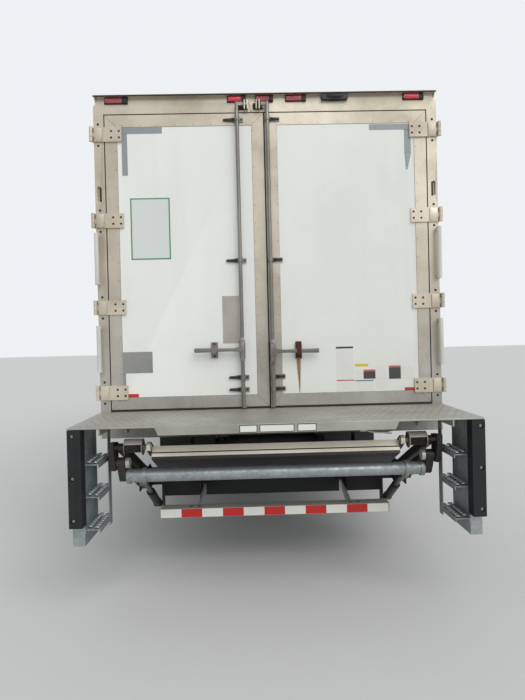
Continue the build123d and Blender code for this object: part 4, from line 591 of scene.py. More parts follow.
print("rear: doors, frame and signs")
doorEdges = {-1: (-1212, -20), 1: (-10, 1212)}
doorLow, doorHigh, edgeFrame, rivetLine = 1235, 3449, 90, 79
panelLow, panelHigh = doorLow + edgeFrame, doorHigh - edgeFrame
hingeHeights, guideHeights = (1364, 2006, 2658, 3303), (1366, 1458, 2340, 3398)
lockSizes = {
    "left": {"rod": -217, "guide": (-31, 31), "arm": (-205, -318), "catch": -428, "handle": 1668},
    "right": {"rod": 10, "guide": (40, 76), "arm": (24, 96), "catch": 207, "handle": 1648},
}


def rustStain():
    # A thin orange stain, strongest along its middle and fading down the panel
    f = Finish("rustRun", Metallic=0.0, Roughness=0.6)
    away = f.axis("X") - 0.2075
    middle = 1 - f.maths("ABSOLUTE", away, 0.0).clamp(0.002, 0.019)
    height = f.axis("Z").clamp(1.32, 1.62)
    runs = f.noise(60, 5.0, 0.7, (1, 1, 0.04)).clamp(0.25, 0.7)
    f.feed(
        Base_Color=f.blend(runs, linear(206, 168, 104), linear(160, 100, 44)),
        Alpha=middle * (height * 0.6 + 0.4) * (runs * 0.5 + 0.45),
    )
    f.material.surface_render_method = "BLENDED"
    return f.material


greyTape = painted("greyTape", (144, 149, 151), (116, 117, 114), 0.32, 0.5)
redTape = painted("redTape", (198, 30, 26), (120, 30, 24), 0.3, 0.35)
whiteTape = painted("whiteTape", (232, 232, 222), (170, 166, 150), 0.3, 0.5)
signWhite = painted("signWhite", (210, 215, 211), (180, 184, 176), 0.3, 0.35)
signGreen = painted("signGreen", (84, 140, 108), (92, 118, 98), 0.35, 0.3)
labelWhite = painted("labelWhite", (221, 221, 214), (190, 188, 178), 0.35, 0.5)
labelDark = painted("labelDark", (62, 58, 58), (96, 88, 82), 0.4, 0.5)
labelRed = painted("labelRed", (196, 70, 44), (150, 80, 60), 0.4, 0.4)
labelYellow = painted("labelYellow", (206, 194, 40), (170, 160, 60), 0.4, 0.4)
labelBlue = painted("labelBlue", (96, 108, 126), (110, 116, 124), 0.4, 0.4)
groove = moulded("groove", (34, 32, 30), (60, 56, 50), 0.8)
rust = moulded("rust", (72, 36, 26), (116, 62, 36), 0.8, 160, 0.002, 0.9)
chequer = dullMetal("chequer", (196, 190, 178), (150, 142, 132), 0.42, 0.45, (1, 1, 1), 70)
platedSteel = dullMetal("platedSteel", (164, 164, 158), (122, 122, 116), 0.4, 0.5, (0.05, 1, 1), 300)
rustRun = rustStain()
redReflector = lens("redReflector", (206, 22, 28), (130, 10, 14), 0.2, 420)


def patch(name, finish, word, rows, front=2.2, thickness=0.8, slot="door_white", soft=0.0):
    # Thin flat pieces on a door's panel, which lies 3 mm forward. Rows: low x, high x, low z, high z
    shape = Shape()
    for x0, x1, z0, z1 in rows:
        shape.box((x0, x1), (front, front + thickness), (z0, z1), soft, 1)
    shape.make(name, slot, finish, "rear_door_" + word)


for side, word in sides:
    body = "rear_door_" + word
    low, high = doorEdges[side]
    # Rubber seal round the leaf, and the mitres of its edge frame
    seal = Shape()
    for x in ((low - 5, low + 1), (high - 1, high + (4 if side < 0 else 5))):
        seal.box(x, (6, 60), (doorLow - 4, doorHigh + 4), 1.5)
        if side > 0:
            seal.box(x, (2, 8), (doorLow - 4, doorHigh + 4), 1.0)
    for z in ((doorLow - 5, doorLow + 1), (doorHigh - 1, doorHigh + 5)):
        seal.box((low - 4, high + 4), (6, 60), z, 1.5)
    seal.make("door_seal_" + word, "bumper_rubber", body=body)
    mitre = Shape()
    for cornerX, inX in ((low, 1), (high, -1)):
        for cornerZ, inZ in ((doorLow, 1), (doorHigh, -1)):
            points = [
                (cornerX + inX * 3, cornerZ + inZ * 1.5), (cornerX + inX * 90, cornerZ + inZ * 88.5),
                (cornerX + inX * 90, cornerZ + inZ * 90.5), (cornerX + inX * 3, cornerZ + inZ * 3.5),
            ]
            mitre.slab(points, "y", -0.25, 0.6)
    for x in (low + edgeFrame, high - edgeFrame):
        mitre.box((x - 1.2, x + 1.2), (2.2, 3.2), (panelLow, panelHigh))
    for z in (panelLow, panelHigh):
        mitre.box((low + edgeFrame, high - edgeFrame), (2.2, 3.2), (z - 1.2, z + 1.2))
    mitre.make("door_mitres_" + word, "bumper_rubber", groove, body)
    # Rivets along the edge frame, and bolts through the hinge straps, guides and catches
    rivets, bolts = shapes(2)
    for index in range(15):
        z = panelLow + 40 + index * (panelHigh - panelLow - 80) / 14
        for x in (low + rivetLine, high - rivetLine):
            rivets.rivet((x, 0, z), rearward, 4.5, 1.8)
    for index in range(8):
        x = low + 130 + index * (high - low - 260) / 7
        for z in (doorLow + rivetLine, doorHigh - rivetLine):
            rivets.rivet((x, 0, z), rearward, 4.5, 1.8)
    for middle in hingeHeights:
        for x in (1104, 1162):
            for z in (middle - 24, middle + 24):
                bolts.rivet((side * x, -12, z), rearward, 9.5, 4)
    lock = lockSizes[word]
    rodX, catchX, handleZ = lock["rod"], lock["catch"], lock["handle"]
    for height in guideHeights:
        for shift in lock["guide"]:
            bolts.bolt((rodX + shift, -8, height), rearward, 5.5, 5)
    for shift in (-46, 46):
        bolts.bolt((catchX, -8, handleZ + shift), rearward, 6, 5)
    for shift in (-56, 56):
        bolts.bolt((rodX, -16, handleZ + shift), rearward, 6, 5)
    rivets.make("door_rivets_" + word, "lock_zinc", body=body)
    bolts.make("door_bolts_" + word, "lock_zinc", darkSteel, body)
    arms = Shape()
    near, far = lock["arm"]
    for height in guideHeights:
        arms.slab([
            (near, height - 15), (near, height + 15), (far, height + 9), (far + side * 8, height),
            (far, height - 9),
        ], "y", -13, 0, 3)
        arms.bolt(((near + 3 * far) / 4, -13, height), rearward, 5, 4)
    arms.make("rod_guide_arms_" + word, "lock_zinc", darkSteel, body)

# Left door: chequer plate, steel corner plate, blank sign and grey tape
left, right = "rear_door_left", "rear_door_right"
plate = Shape()
plate.box((-362, -236), (0.6, 3), (1718, 2075), 0.6, 1)
for row in range(22):
    for column in range(8):
        x = -352 + column * 15.2 + (7.6 if row % 2 else 0)
        z = 1728 + row * 16
        if x < -244:
            lean = 42 if (row + column) % 2 else -42
            plate.box((x - 5.2, x + 5.2), (-0.6, 1), (z - 1.7, z + 1.7), 0.0, 1, (lean, "Y"))
for x in (-354, -244):
    for z in (1728, 1896, 2064):
        plate.rivet((x, 0.6, z), rearward, 4.5, 2)
plate.make("chequer_plate", "lock_zinc", chequer, left)
corner = Shape()
corner.slab(
    [(-1123, 1420), (-1100, 1420), (-1100, 1510), (-898, 1510), (-898, 1668), (-1123, 1668)], "y", -0.4, 3,
)
for x, z in (
    (-1112, 1430), (-1112, 1656), (-910, 1656), (-910, 1522), (-1010, 1656), (-1010, 1522), (-1112, 1540),
):
    corner.rivet((x, -0.4, z), rearward, 5, 2)
corner.make("corner_plate", "lock_zinc", platedSteel, left)
patch("speed_sign_border", signGreen, "left", ((-1036, -739, 2362, 2825),), 2.0, 0.9)
patch("speed_sign_face", signWhite, "left", ((-1026, -749, 2372, 2815),), 1.7, 0.9)
patch("grey_tape_left", greyTape, "left", ((-1089, -784, 3308, 3356), (-1089, -1047, 2996, 3310)), 2.3, 0.7)
tape = Shape()
tape.box((781, 1094), (2.3, 3), (3308, 3352))
tape.box((1047, 1098), (2.3, 3), (3120, 3310))
for index in range(6):
    z, front, across = 3118 - index * 19, 2.3 - index * 0.3, (1049 + index * 1.5, 1094 - index * 5)
    tape.box(across, (front, front + 0.7), (z - 17, z), 0, 1, (index * 3.0, "Y"))
tape.make("grey_tape_right", "door_white", greyTape, right)
for word, row in (("left", (-1090, -1008, 1327, 1352)), ("right", (1012, 1095, 1327, 1350))):
    patch("corner_reflector_" + word, redReflector, word, (row,), 0.5, 2.5, "lamp_red", 0.8)

# Right door: blank patches, with colour bars along their tops
patch("label_white", labelWhite, "right", (
    (492, 623, 1428, 1655), (794, 883, 1412, 1516), (985, 1082, 1417, 1513), (494, 629, 1330, 1409),
    (636, 774, 1330, 1403), (636, 700, 1428, 1492), (790, 880, 1352, 1404),
), 2.3, 0.7)
for word, finish, rows in (
    ("dark", labelDark, ((698, 789, 1422, 1480), (893, 983, 1417, 1506), (492, 623, 1657, 1671))),
    ("red", labelRed, ((698, 789, 1482, 1492), (893, 983, 1508, 1518), (494, 629, 1411, 1419))),
    ("blue", labelBlue, ((636, 774, 1405, 1413),)), ("yellow", labelYellow, ((634, 736, 1517, 1537),)),
):
    patch("label_" + word, finish, "right", rows)
streak = Shape()
streak.slab([
    (187, 1594), (226, 1594), (223, 1520), (219, 1440), (213, 1328), (208, 1328), (201, 1430), (192, 1520),
], "y", 2.5, 3.0)
streak.make("rust_streaks", "door_white", rustRun, right)

# Flat paddles over the handles, and the strap plates on the rods that they turn on
for word, tip, root in (("left", -574, -262), ("right", 356, 58)):
    paddle, strap = shapes(2)
    z, rod, middle = lockSizes[word]["handle"], lockSizes[word]["rod"], (tip + root) / 2
    paddle.slab([
        (tip, z - 17), (tip, z + 17), (middle, z + 15), (root, z + 10), (root, z - 10), (middle, z - 15),
    ], "y", -62, -55, 1.5)
    paddle.make("handle_paddle_" + word, "lock_zinc", body="rear_door_" + word)
    strap.box((rod - 16, rod + 16), (-56, -50), (z - 95, z + 90), 4, 2)
    for shift in (-74, 0, 66):
        strap.rivet((rod, -56, z + shift), rearward, 8.5, 4)
    strap.make("rod_strap_" + word, "lift_zinc", body="rear_door_" + word)

# Rusty saddle over the right handle's catch
saddle = Shape()
saddle.box((188, 226), (-66, -2), (1618, 1678), 7, 3)
saddle.box((184, 230), (-10, 1), (1592, 1720), 5, 3)
saddle.make("catch_saddle_right", "lock_zinc", rust, right)

print("rear: header, plate, guard, steps")
bezel = moulded("bezel", (30, 28, 28), (66, 62, 58), 0.6)
bright = dullMetal("brightSteel", (206, 206, 202), (130, 128, 122), 0.28, 0.85, (1, 1, 1), 80)

# Lamp bezels along the header, the black camera dome, and rivets. Columns: middle, half width
lamps = ((-1121, 83), (-218, 66), (-10, 64), (228, 74), (1120, 75))
header, dome, rivets = shapes(3)
for middle, half in lamps:
    for z in ((3529, 3534), (3578, 3583)):
        header.box((middle - half - 5, middle + half + 5), (-7, 1), z, 1.5)
    for x in ((middle - half - 5, middle - half), (middle + half, middle + half + 5)):
        header.box(x, (-7, 1), (3530, 3582), 1.5)
header.make("lamp_bezels", "lamp_red", bezel)
dome.turned(
    ((0, 104), (4, 104), (6, 92), (26, 76), (38, 48), (43, 0)), (522, 0, 3556), rearward, 48,
)
bmesh.ops.scale(dome.bm, vec=(1, 1, 0.26), space=Matrix.Translation((-522, 0, -3556)), verts=dome.bm.verts)
dome.make("header_dome", "bumper_rubber", blackPaint, smooth=50)
for index in range(29):
    x = -1260 + index * 90
    clear = all(abs(x - middle) > half + 14 for middle, half in (*lamps, (522, 110)))
    if clear:
        rivets.rivet((x, 0, 3572), rearward, 4.5, 2)
    if all(abs(x - lock["rod"]) > 60 for lock in lockSizes.values()):
        rivets.rivet((x, 0, 3472), rearward, 4.5, 2)
for side in (-1, 1):
    for index in range(22):
        z = 1290 + index * 102
        if all(abs(z - middle) > 62 for middle in hingeHeights):
            rivets.rivet((side * 1283, 0, z), rearward, 4.5, 2)
rivets.make("frame_rivets", "frame_aluminium", hingeSteel)

# Hinge cheeks on the posts with their bolts, slots in the posts as painted shade, dark bases above the doors,
# and a visor strip of gasket and painted shade
cheeks, postBolts, dark = shapes(3)
for side in (-1, 1):
    for middle in hingeHeights:
        cheeks.box((side * 1226, side * 1287), (-16, -11), (middle - 49, middle + 49), 2)
        cheeks.box((side * 1226, side * 1232), (-20, -11), (middle - 49, middle + 49), 2)
        for z in (middle - 80, middle + 80):
            postBolts.rivet((side * 1262, 0, z), rearward, 10, 5)
    # Dark rounded boxes flush on the posts: painted shade inside the slots
    dark.box((side * 1246, side * 1260), (-0.8, 1), (2802, 2909), 6.5, 3)
dark.box((-206, -137), (-1, 1), (3472, 3516), 3)
dark.box((-97, -24), (-1, 1), (3472, 3524), 3)
# Dark strip along the visor's edge: partly a gasket, partly painted shade under the visor
dark.box((-1288, 1288), (-34.6, -28), (3575, 3585), 1.5)
for middle, half in lamps:
    dark.box((middle + half * 0.56, middle + half + 2), (-18.5, 0), (3531, 3581), 4)
cheeks.make("hinge_cheeks", "frame_aluminium", hingeSteel)
postBolts.make("post_bolts", "lock_zinc", darkSteel)
dark.make("header_darks", "bumper_rubber", bezel)
# A lighter copy of the red lens over part of two lamps: painted highlight
lensHighlight = lens("lensHighlight", (222, 34, 58), (150, 12, 30))
lit = Shape()
for middle, half in (lamps[1], lamps[4]):
    lit.box((middle - half * 0.9, middle + half * 0.5), (-17.5, -2), (3535, 3577), 5, 3)
lit.make("lens_painted_highlights", "lamp_red", lensHighlight)
threshold = Shape()
threshold.box((-1214, 1214), (-5, 40), (1221, 1233), 2.5)
threshold.make("threshold_seal", "bumper_rubber")

# Blank labels on the plate's lip: a black border with a white field. Columns: low x, high x
lip, borders, fields = -740, Shape(), Shape()
for low, high in ((-235, -123), (-110, 106), (125, 243)):
    borders.box((low, high), (lip - 0.2, lip + 1), (1158, 1206), 0.6, 1)
    fields.box((low + 5, high - 5), (lip - 0.4, lip), (1163, 1201), 0.4, 1)
borders.make("lip_label_borders", "plate_steel", blackPaint)
fields.make("lip_label_fields", "plate_steel", labelWhite)

# Raised tread dots over the plate
dots = Shape()
for row in range(11):
    for column in range(44):
        x = -1225 + column * 57 + (28 if row % 2 else 0)
        y = -700 + row * 62
        dots.bar((x, y, 1219.6), (x, y, 1221.2), 7, 5, 8)
dots.make("plate_tread", "plate_steel")

# Alternating tape along the guard bar, from its left end
guardFace = station(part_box("underride_bar")[0].y)
tapes = shapes(2)
for index in range(11):
    low = -843 + index * 152
    tapes[index % 2].box((low + 0.6, min(low + 151.4, 838)), (guardFace - 0.8, guardFace + 0.4), (450, 510))
tapes[0].make("guard_tape_white", "guard_paint", whiteTape)
tapes[1].make("guard_tape_red", "guard_paint", redTape)
guardBolts = Shape()
for x in (-620, -560, 560, 620):
    guardBolts.bolt((x, guardFace + 40, 512), upward, 9, 8)
guardBolts.make("guard_bolts", "lift_zinc")

# Dock bumper bolts in their holes, grip rings on the treads, and black discs in the rings as painted shade
# for the tread holes
boltHeads, grips, holes = shapes(3)
gripRing = ((-1, 17), (6, 15), (7, 12), (7, 9), (-1, 8))
for side in (-1, 1):
    for z in (1162, 900, 640):
        boltHeads.bar((side * 1268, -700, z), (side * 1268, -722, z), 17, sides=24, soft=1)
        boltHeads.bar((side * 1268, -722, z), (side * 1268, -734, z), 11, sides=6, soft=0.8)
    for top in (980, 775, 570):
        for row in range(2):
            for index in range(7):
                x = side * (1152 + row * 48)
                y = -635 + index * 40 + row * 18
                grips.turned(gripRing, (x, y, top), upward, 20, closed=True)
                # A black disc in the ring: painted shade where the tread has a hole
                holes.bar((x, y, top - 1), (x, y, top + 0.6), 8.5, sides=16)
boltHeads.make("bumper_bolts", "lift_zinc")
grips.make("step_grips", "galvanised")
holes.make("step_grip_holes", "galvanised", blackPaint)

# Tail lamps hung below the floor, a red frame round a dark lens
lampCase, lampRim = shapes(2)
lampCase.pair((560, 690), (86, 130), (742, 812), 6)
lampCase.pair((610, 640), (96, 112), (806, 1094), 2)
for x in ((562, 570), (680, 688)):
    lampRim.pair(x, (80, 92), (748, 806), 3)
for z in ((746, 754), (800, 808)):
    lampRim.pair((562, 688), (80, 92), z, 3)
lampCase.make("tail_lamp_cases", "lift_black", blackPaint)
lampRim.make("tail_lamp_rims", "lamp_red")

print("tail lift: apron, pins, latch")
# Black rubber apron under the cross tube, in three lengths between the guard's stays; it fills the dark band
# under the truck, so it is partly painted shade
apronAndShade, apronStation = Shape(), 390
for low, high in ((-900, -604), (-552, 552), (604, 900)):
    apronAndShade.box((low, high), (apronStation - 8, apronStation - 1), (468, 640), 1.5)
    for x in (low + 30, (low + high) / 2, high - 30):
        apronAndShade.bolt((x, apronStation - 8, 622), rearward, 8, 6)
apronAndShade.make("lift_apron_and_painted_shade", "bumper_rubber")

# Pin heads of the lower arms, with bolts. Columns: station and height, radius
for place, radius in (((-450, 930), 26), ((280, 600), 30)):
    pins = Shape()
    for side in (-1, 1):
        start = Vector((side * 1062, *place))
        out = Vector((side, 0, 0))
        pins.bar(start, start + out * 7, radius, sides=28, soft=1.5)
        pins.bar(start + out * 7, start + out * 15, 7, 5, 12)
        pins.bolt(start + Vector((0, radius + 8, -radius * 0.5)), out, 7, 6)
    pins.make("pin_heads_%d" % place[1], "lift_zinc", body="lift_arms")

# Painted highlight along the second leaf's rear edge, a strip on the folded platform's own slope
leaf, slope = 42, math.radians(-24)


def onPlatform(along, below):
    # Station and height of a point along and below the hinge shaft, on the leaves' slope
    return (
        shaftStation + along * math.cos(slope) + below * math.sin(slope),
        shaftHeight + along * math.sin(slope) - below * math.cos(slope),
    )


edgeHighlight = Shape()
edgePoints = ((31.5, leaf - 2), (34.5, leaf - 2), (34.5, leaf + 20), (31.5, leaf + 20))
edgeHighlight.slab([onPlatform(*point) for point in edgePoints], "x", -826, 826)
edgeHighlight.make("platform_edge_painted_highlight", "frame_aluminium", paintedHighlightAlloy, "lift_platform")

latch = Shape()
latch.tube(((560, -610, 1138), (590, -650, 1132), (640, -668, 1126), (690, -668, 1126)), 7)
latch.bar((690, -668, 1126), (728, -668, 1126), 11, sides=16, soft=2)
latch.box((536, 572), (-632, -590), (1128, 1152), 3)
latch.make("platform_latch", "lift_zinc", bright)

print("body: seams, rivets, marker lamps, lining")
amberLens = lens("amberLens", (232, 140, 26), (150, 78, 8), 0.14, 320)
liner = moulded("liner", (206, 207, 203), (150, 148, 140), 0.5, 240, 0.001, 0.4)
floorRib = dullMetal("floorRib", (178, 178, 174), (116, 112, 106), 0.4, 0.75, (1, 0.02, 1))
innerX = -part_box("box_wall_left")[1].x * 1000
seamPitch = 1219

seams, rivets, sideLamps, redLamps, cases = shapes(5)
for side in (-1, 1):
    for index in range(1, 6):
        y = index * seamPitch
        seams.box((side * 1287, side * 1291), (y - 22, y + 22), (1246, 3456), 1.0)
        for row in range(28):
            z = 1275 + row * 80
            for across in (-14, 14):
                rivets.rivet((side * 1291, y + across, z), (side, 0, 0), 5, 2)
    for index in range(48):
        y = 60 + index * 153
        for z in (1112, 1228, 3474, 3530):
            rivets.rivet((side * 1295, y, z), (side, 0, 0), 5.5, 2.4)
for y, shape in ((95, redLamps), (3600, sideLamps), (7210, sideLamps)):
    cases.pair((1294, 1300), (y - 68, y + 68), (1140, 1202), 3)
    shape.pair((1297, 1311), (y - 58, y + 58), (1149, 1193), 7, 3)
for y, shape in ((95, redLamps), (7210, sideLamps)):
    shape.pair((1294, 1308), (y - 40, y + 40), (3484, 3520), 7, 3)
for x in (-1180, -200, 0, 200, 1180):
    cases.box((x - 52, x + 52), (7313, 7320), (3544, 3582), 2)
    sideLamps.box((x - 45, x + 45), (7316, 7330), (3549, 3577), 6, 3)
seams.make("body_seams", "box_skin")
rivets.make("body_rivets", "frame_aluminium")
cases.make("marker_cases", "bumper_rubber", bezel)
sideLamps.make("marker_lamps_amber", "lamp_clear", amberLens)
redLamps.make("marker_lamps_red", "lamp_red")

# Roof bows that show under the skin
bows = Shape()
for index in range(1, 12):
    y = index * 609
    bows.box((-1240, 1240), (y - 20, y + 20), (3584, 3587.4))
bows.make("roof_bows", "box_skin")

# Inside: drainage ribs along the floor, scuff lining, cargo track and ceiling lamps
ribs, lining, track, ceiling = shapes(4)
for index in range(56):
    x = -1182 + index * 43
    ribs.box((x - 9, x + 9), (140, 7196), (1219, 1233), 1.2, 1)
lining.pair((innerX + 1, innerX - 7), (140, 7205), (1222, 1580), 2)
lining.pair((innerX + 1, innerX - 11), (140, 7205), (1580, 1604), 3)
for index in range(1, 6):
    y = index * seamPitch
    lining.pair((innerX + 1, innerX - 5), (y - 26, y + 26), (1604, 3480), 1.5)
track.pair((innerX + 1, innerX - 9), (150, 7190), (2210, 2330), 2)
for index in range(2):
    y = 1900 + index * 3400
    ceiling.box((-70, 70), (y - 300, y + 300), (3478, 3500), 8, 3)
ribs.make("floor_ribs", "box_steel", floorRib)
lining.make("scuff_lining", "box_skin", liner)
track.make("cargo_track", "lock_zinc", bright)
ceiling.make("ceiling_lamps", "lamp_clear")

# Cooling unit: panel seams, side louvres and latches
unitSeams, unitDark, unitLatch = shapes(3)
for z in (2864, 3376):
    unitSeams.box((-1000.5, 1000.5), (7330, 7815), (z - 2, z + 2))
unitSeams.pair((1000.8, 998), (7560, 7564), (2720, 3500))
for index in range(9):
    z = 2950 + index * 38
    unitDark.pair((1001.5, 997), (7600, 7790), (z - 6, z + 6), 1.5)
for z in (2800, 3440):
    unitLatch.pair((1006, 997), (7548, 7576), (z - 22, z + 22), 3)
unitLatch.pair((890, 860), (7873, 7881), (2980, 3060), 4)
unitSeams.make("unit_seams", "grille_black", groove)
unitDark.make("unit_louvres", "grille_black")
unitLatch.make("unit_latches", "grille_black")

print("cab and hood: seals, wipers, handles, lamps, mirrors")
mirrorGlass = dullMetal("mirrorGlass", (196, 206, 212), (170, 180, 186), 0.1, 1.0, (1, 1, 1), 8)
dialFace = moulded("dialFace", (24, 25, 27), (40, 40, 40), 0.4, 500, 0.0003, 0.2)
dialMark = moulded("dialMark", (226, 226, 220), (200, 200, 196), 0.5, 500, 0.0003, 0.2)
needle = moulded("needle", (214, 60, 30), (180, 60, 40), 0.5, 500, 0.0003, 0.2)


def skinX(z):
    # Half width of the cab's side at a height
    return 1090 - max(0, z - 1740) * 115 / 730


def screenY(z):
    # Station of the windscreen's outer face at a height
    return 8705 - (z - 1770) / 2


def loop(shape, points, radius):
    # A closed bead through its corners, each drawn in a little
    run = []
    count = len(points)
    for index in range(count):
        here, before, after = (Vector(points[i % count]) for i in (index, index - 1, index + 1))
        for other in (before, after):
            step = other - here
            run.append(here + step.normalized() * min(26, step.length / 3))
    shape.tube(run, radius, cyclic=True)


def corners(x0, x1, z0, z1):
    return ((x0, z0), (x1, z0), (x1, z1), (x0, z1))


seals, wipers, roofLamps, roofBases = shapes(4)
loop(seals, [(x, screenY(z) + 4, z) for x, z in corners(-838, 838, 1802, 2473)], 13)
loop(seals, [(x, 7463, z) for x, z in corners(-488, 488, 1892, 2338)], 11)
seals.make("window_seals", "bumper_rubber")
for x in (-120, 640):
    pivot = Vector((x, screenY(1790) + 24, 1790))
    elbow = Vector((x - 210, screenY(2040) + 26, 2040))
    wipers.bar(pivot - Vector((0, 26, 12)), pivot + Vector((0, 10, 4)), 15, 11, 20, 1.5)
    wipers.bar(pivot, elbow, 7, 5, 10)
    low = Vector((x - 80, screenY(1850) + 20, 1850))
    high = Vector((x - 340, screenY(2230) + 20, 2230))
    wipers.bar(low, high, 7, sides=8)
    wipers.bar(low - Vector((0, 8, 0)), high - Vector((0, 8, 0)), 4, sides=4)
wipers.make("wipers", "grille_black")
for x in (-690, -190, 0, 190, 690):
    roofBases.box((x - 62, x + 62), (8185, 8275), (2596, 2622), 8, 3)
    roofLamps.box((x - 52, x + 52), (8195, 8268), (2612, 2650), 14, 4)
roofBases.make("roof_marker_bases", "grille_black", bezel)
roofLamps.make("roof_marker_lamps", "lamp_clear", amberLens)

for side, word in sides:
    body, door = "cab_door_" + word, Shape()
    opening = ((7708, 1742), (8458, 1742), (8458, 1832), (8241, 2383), (7708, 2383))
    loop(door, [(side * (skinX(z) + 1), y, z) for y, z in opening], 11)
    door.make("door_window_seal_" + word, "bumper_rubber", body=body)
    handle = Shape()
    handle.box((side * 1086, side * 1093), (7700, 7860), (1500, 1590), 6, 2)
    grip = ((1090, 7716), (1122, 7722), (1126, 7780), (1122, 7838), (1090, 7846))
    handle.tube([(side * x, y, 1546) for x, y in grip], 10)
    handle.bar((side * 1088, 7690, 1470), (side * 1096, 7690, 1470), 13, sides=24, soft=1)
    handle.make("cab_door_handle_" + word, "mirror_black", body=body)
    moulding = Shape()
    moulding.box((side * 1088, side * 1094), (7665, 8520), (1296, 1304), 2)
    moulding.box((side * 1088, side * 1096), (7665, 8520), (1120, 1150), 4)
    moulding.make("cab_door_moulding_" + word, "mirror_black", body=body)
    glass, rims = shapes(2)
    for z0, z1 in ((1836, 2124), (1696, 1812)):
        glass.box((side * 1206, side * 1374), (8345, 8352), (z0, z1), 10, 3)
        rims.box((side * 1199, side * 1381), (8347, 8356), (z0 - 7, z1 + 7), 12, 3)
    for height in (1712, 2080):
        rims.bar((side * 1076, 8394, height), (side * 1100, 8394, height), 27, 22, 24, 2)
    glass.make("mirror_glass_" + word, "mirror_black", mirrorGlass, body)
    rims.make("mirror_rims_" + word, "mirror_black", body=body)

# Entry steps beside the tank and the battery box
steps, stepGrip = shapes(2)
smallRing = ((-1, 14), (4, 12), (5, 10), (5, 8), (-1, 7))
for side in (-1, 1):
    for z, out in ((560, 1128), (880, 1112)):
        steps.box((side * (out - 120), side * out), (7930, 8330), (z, z + 14), 3)
        for y in (7950, 8310):
            steps.box((side * 985, side * (out - 20)), (y - 5, y + 5), (z - 40, z + 4), 1.5)
        for row in range(3):
            for index in range(9):
                spot = (side * (out - 98 + row * 38), 7965 + index * 41, z + 14)
                stepGrip.turned(smallRing, spot, upward, 16, closed=True)
steps.make("entry_steps", "tank_aluminium")
stepGrip.make("entry_step_grips", "tank_aluminium")

# Hood: grille surround, lamp rims and bowls, latches
trim, bowls, latches = shapes(3)
bowlRows = ((0, 0), (2, 20), (3, 44), (6, 60), (4, 64), (0, 66))
loop(trim, [(x, 10100, z) for x, z in corners(-478, 478, 952, 1448)], 12)
for side in (-1, 1):
    loop(trim, [(side * x, 10099, z) for x, z in corners(684, 996, 954, 1126)], 9)
    for x in (768, 912):
        bowls.turned(bowlRows, (side * x, 10096, 1040), ahead, 40)
        bowls.turned(((0, 0), (9, 8), (5, 17), (0, 18)), (side * x, 10098, 1040), ahead, 24)
    latches.box((side * 1144, side * 1158), (8792, 8840), (1090, 1190), 5)
    pull = ((1152, 1190), (1166, 1184), (1168, 1150), (1160, 1120))
    latches.tube([(side * x, 8816, z) for x, z in pull], 7)
trim.make("hood_trim", "tank_aluminium", chrome, "hood")
bowls.make("headlamp_bowls", "lamp_clear", chrome, "hood")
latches.make("hood_latches", "bumper_rubber", body="hood")

# Bumper: fog lamps in their holes, with rims, and bolts
fogRims, fogLamps, bumperBolts = shapes(3)
for side in (-1, 1):
    loop(fogRims, [(side * x, 10163, z) for x, z in corners(592, 788, 592, 688)], 6)
    fogLamps.box((side * 606, side * 774), (10112, 10150), (600, 680), 14, 4)
    for x in (500, 880):
        for z in (540, 740):
            bumperBolts.rivet((side * x, 10164.5, z), ahead, 12, 5)
fogRims.make("fog_rims", "grille_black")
fogLamps.make("fog_lamps", "lamp_clear")
bumperBolts.make("bumper_bolts_front", "bumper_steel", chrome)

# Dashboard: instruments, vents and switches
panel, faces, marks, needles, vents = shapes(5)
panel.box((-720, -240), (8330, 8420), (1560, 1745), 22, 4)
# Dials. Columns: x, height, radius
for x, z, radius in (
    (-590, 1655, 52), (-470, 1655, 52), (-375, 1690, 26), (-375, 1625, 26), (-310, 1690, 26),
    (-310, 1625, 26),
):
    rows = ((0, 0), (2, 1), (2, radius - 3), (7, radius - 1), (7, radius + 3), (0, radius + 4))
    faces.turned(rows, (x, 8331, z), rearward, 32)
    for index in range(9):
        turn = math.radians(-135 + index * 33.75)
        out = Vector((math.sin(turn), 0, math.cos(turn)))
        centre = Vector((x, 8327.8, z))
        marks.bar(centre + out * radius * 0.72, centre + out * radius * 0.86, 1.3, sides=6)
    turn = math.radians(-70 + x % 90)
    out = Vector((math.sin(turn), 0, math.cos(turn)))
    centre = Vector((x, 8326.6, z))
    needles.bar(centre - out * radius * 0.12, centre + out * radius * 0.68, 1.4, 0.7, 6)
    needles.bar((x, 8329, z), (x, 8324, z), radius * 0.1, sides=16)
for x in (-880, -60, 240, 860):
    vents.box((x - 75, x + 75), (8345, 8400), (1590, 1665), 8, 3)
for index in range(6):
    x = -30 + index * 42
    vents.box((x - 15, x + 15), (8352, 8380), (1480, 1530), 4)
vents.box((-50, 220), (8350, 8385), (1400, 1455), 5)
panel.make("instrument_panel", "dash_plastic")
faces.make("dial_faces", "dash_plastic", dialFace)
marks.make("dial_marks", "dash_plastic", dialMark)
needles.make("dial_needles", "dash_plastic", needle)
vents.make("dash_vents", "dash_plastic", dialFace)

print("seats: padded cushions, backs and headrests")


def woven(name, color, dark, scale):
    # Cloth: two sets of threads that cross, with fuzz and worn patches
    f = Finish(name, Metallic=0.0, Roughness=0.88, Sheen_Weight=0.35)
    threads = []
    for direction in "XYZ":
        threads.append(f.make("TexWave", {"wave_type": "BANDS", "bands_direction": direction}, {
            "Vector": f.place, "Scale": scale, "Distortion": 0.4, "Detail": 1.0,
        }, 1))
    weave = (threads[0] + threads[1] + threads[2]) * 0.33
    worn = f.noise(5.0, 6.0).clamp(0.45, 0.8)
    f.feed(Base_Color=f.blend(weave * 0.6 + worn * 0.35, linear(*color), linear(*dark)))
    return f.bump(weave * 0.7 + f.noise(1200, 2.0) * 0.3, 0.35, 0.0012).material


seatCloth = woven("seatWeave", (58, 62, 70), (104, 108, 114), 260)
seatSide = woven("seatSideWeave", (40, 42, 46), (72, 74, 78), 260)
piping = moulded("seatPiping", (30, 31, 34), (70, 70, 72), 0.7, 900, 0.0006)


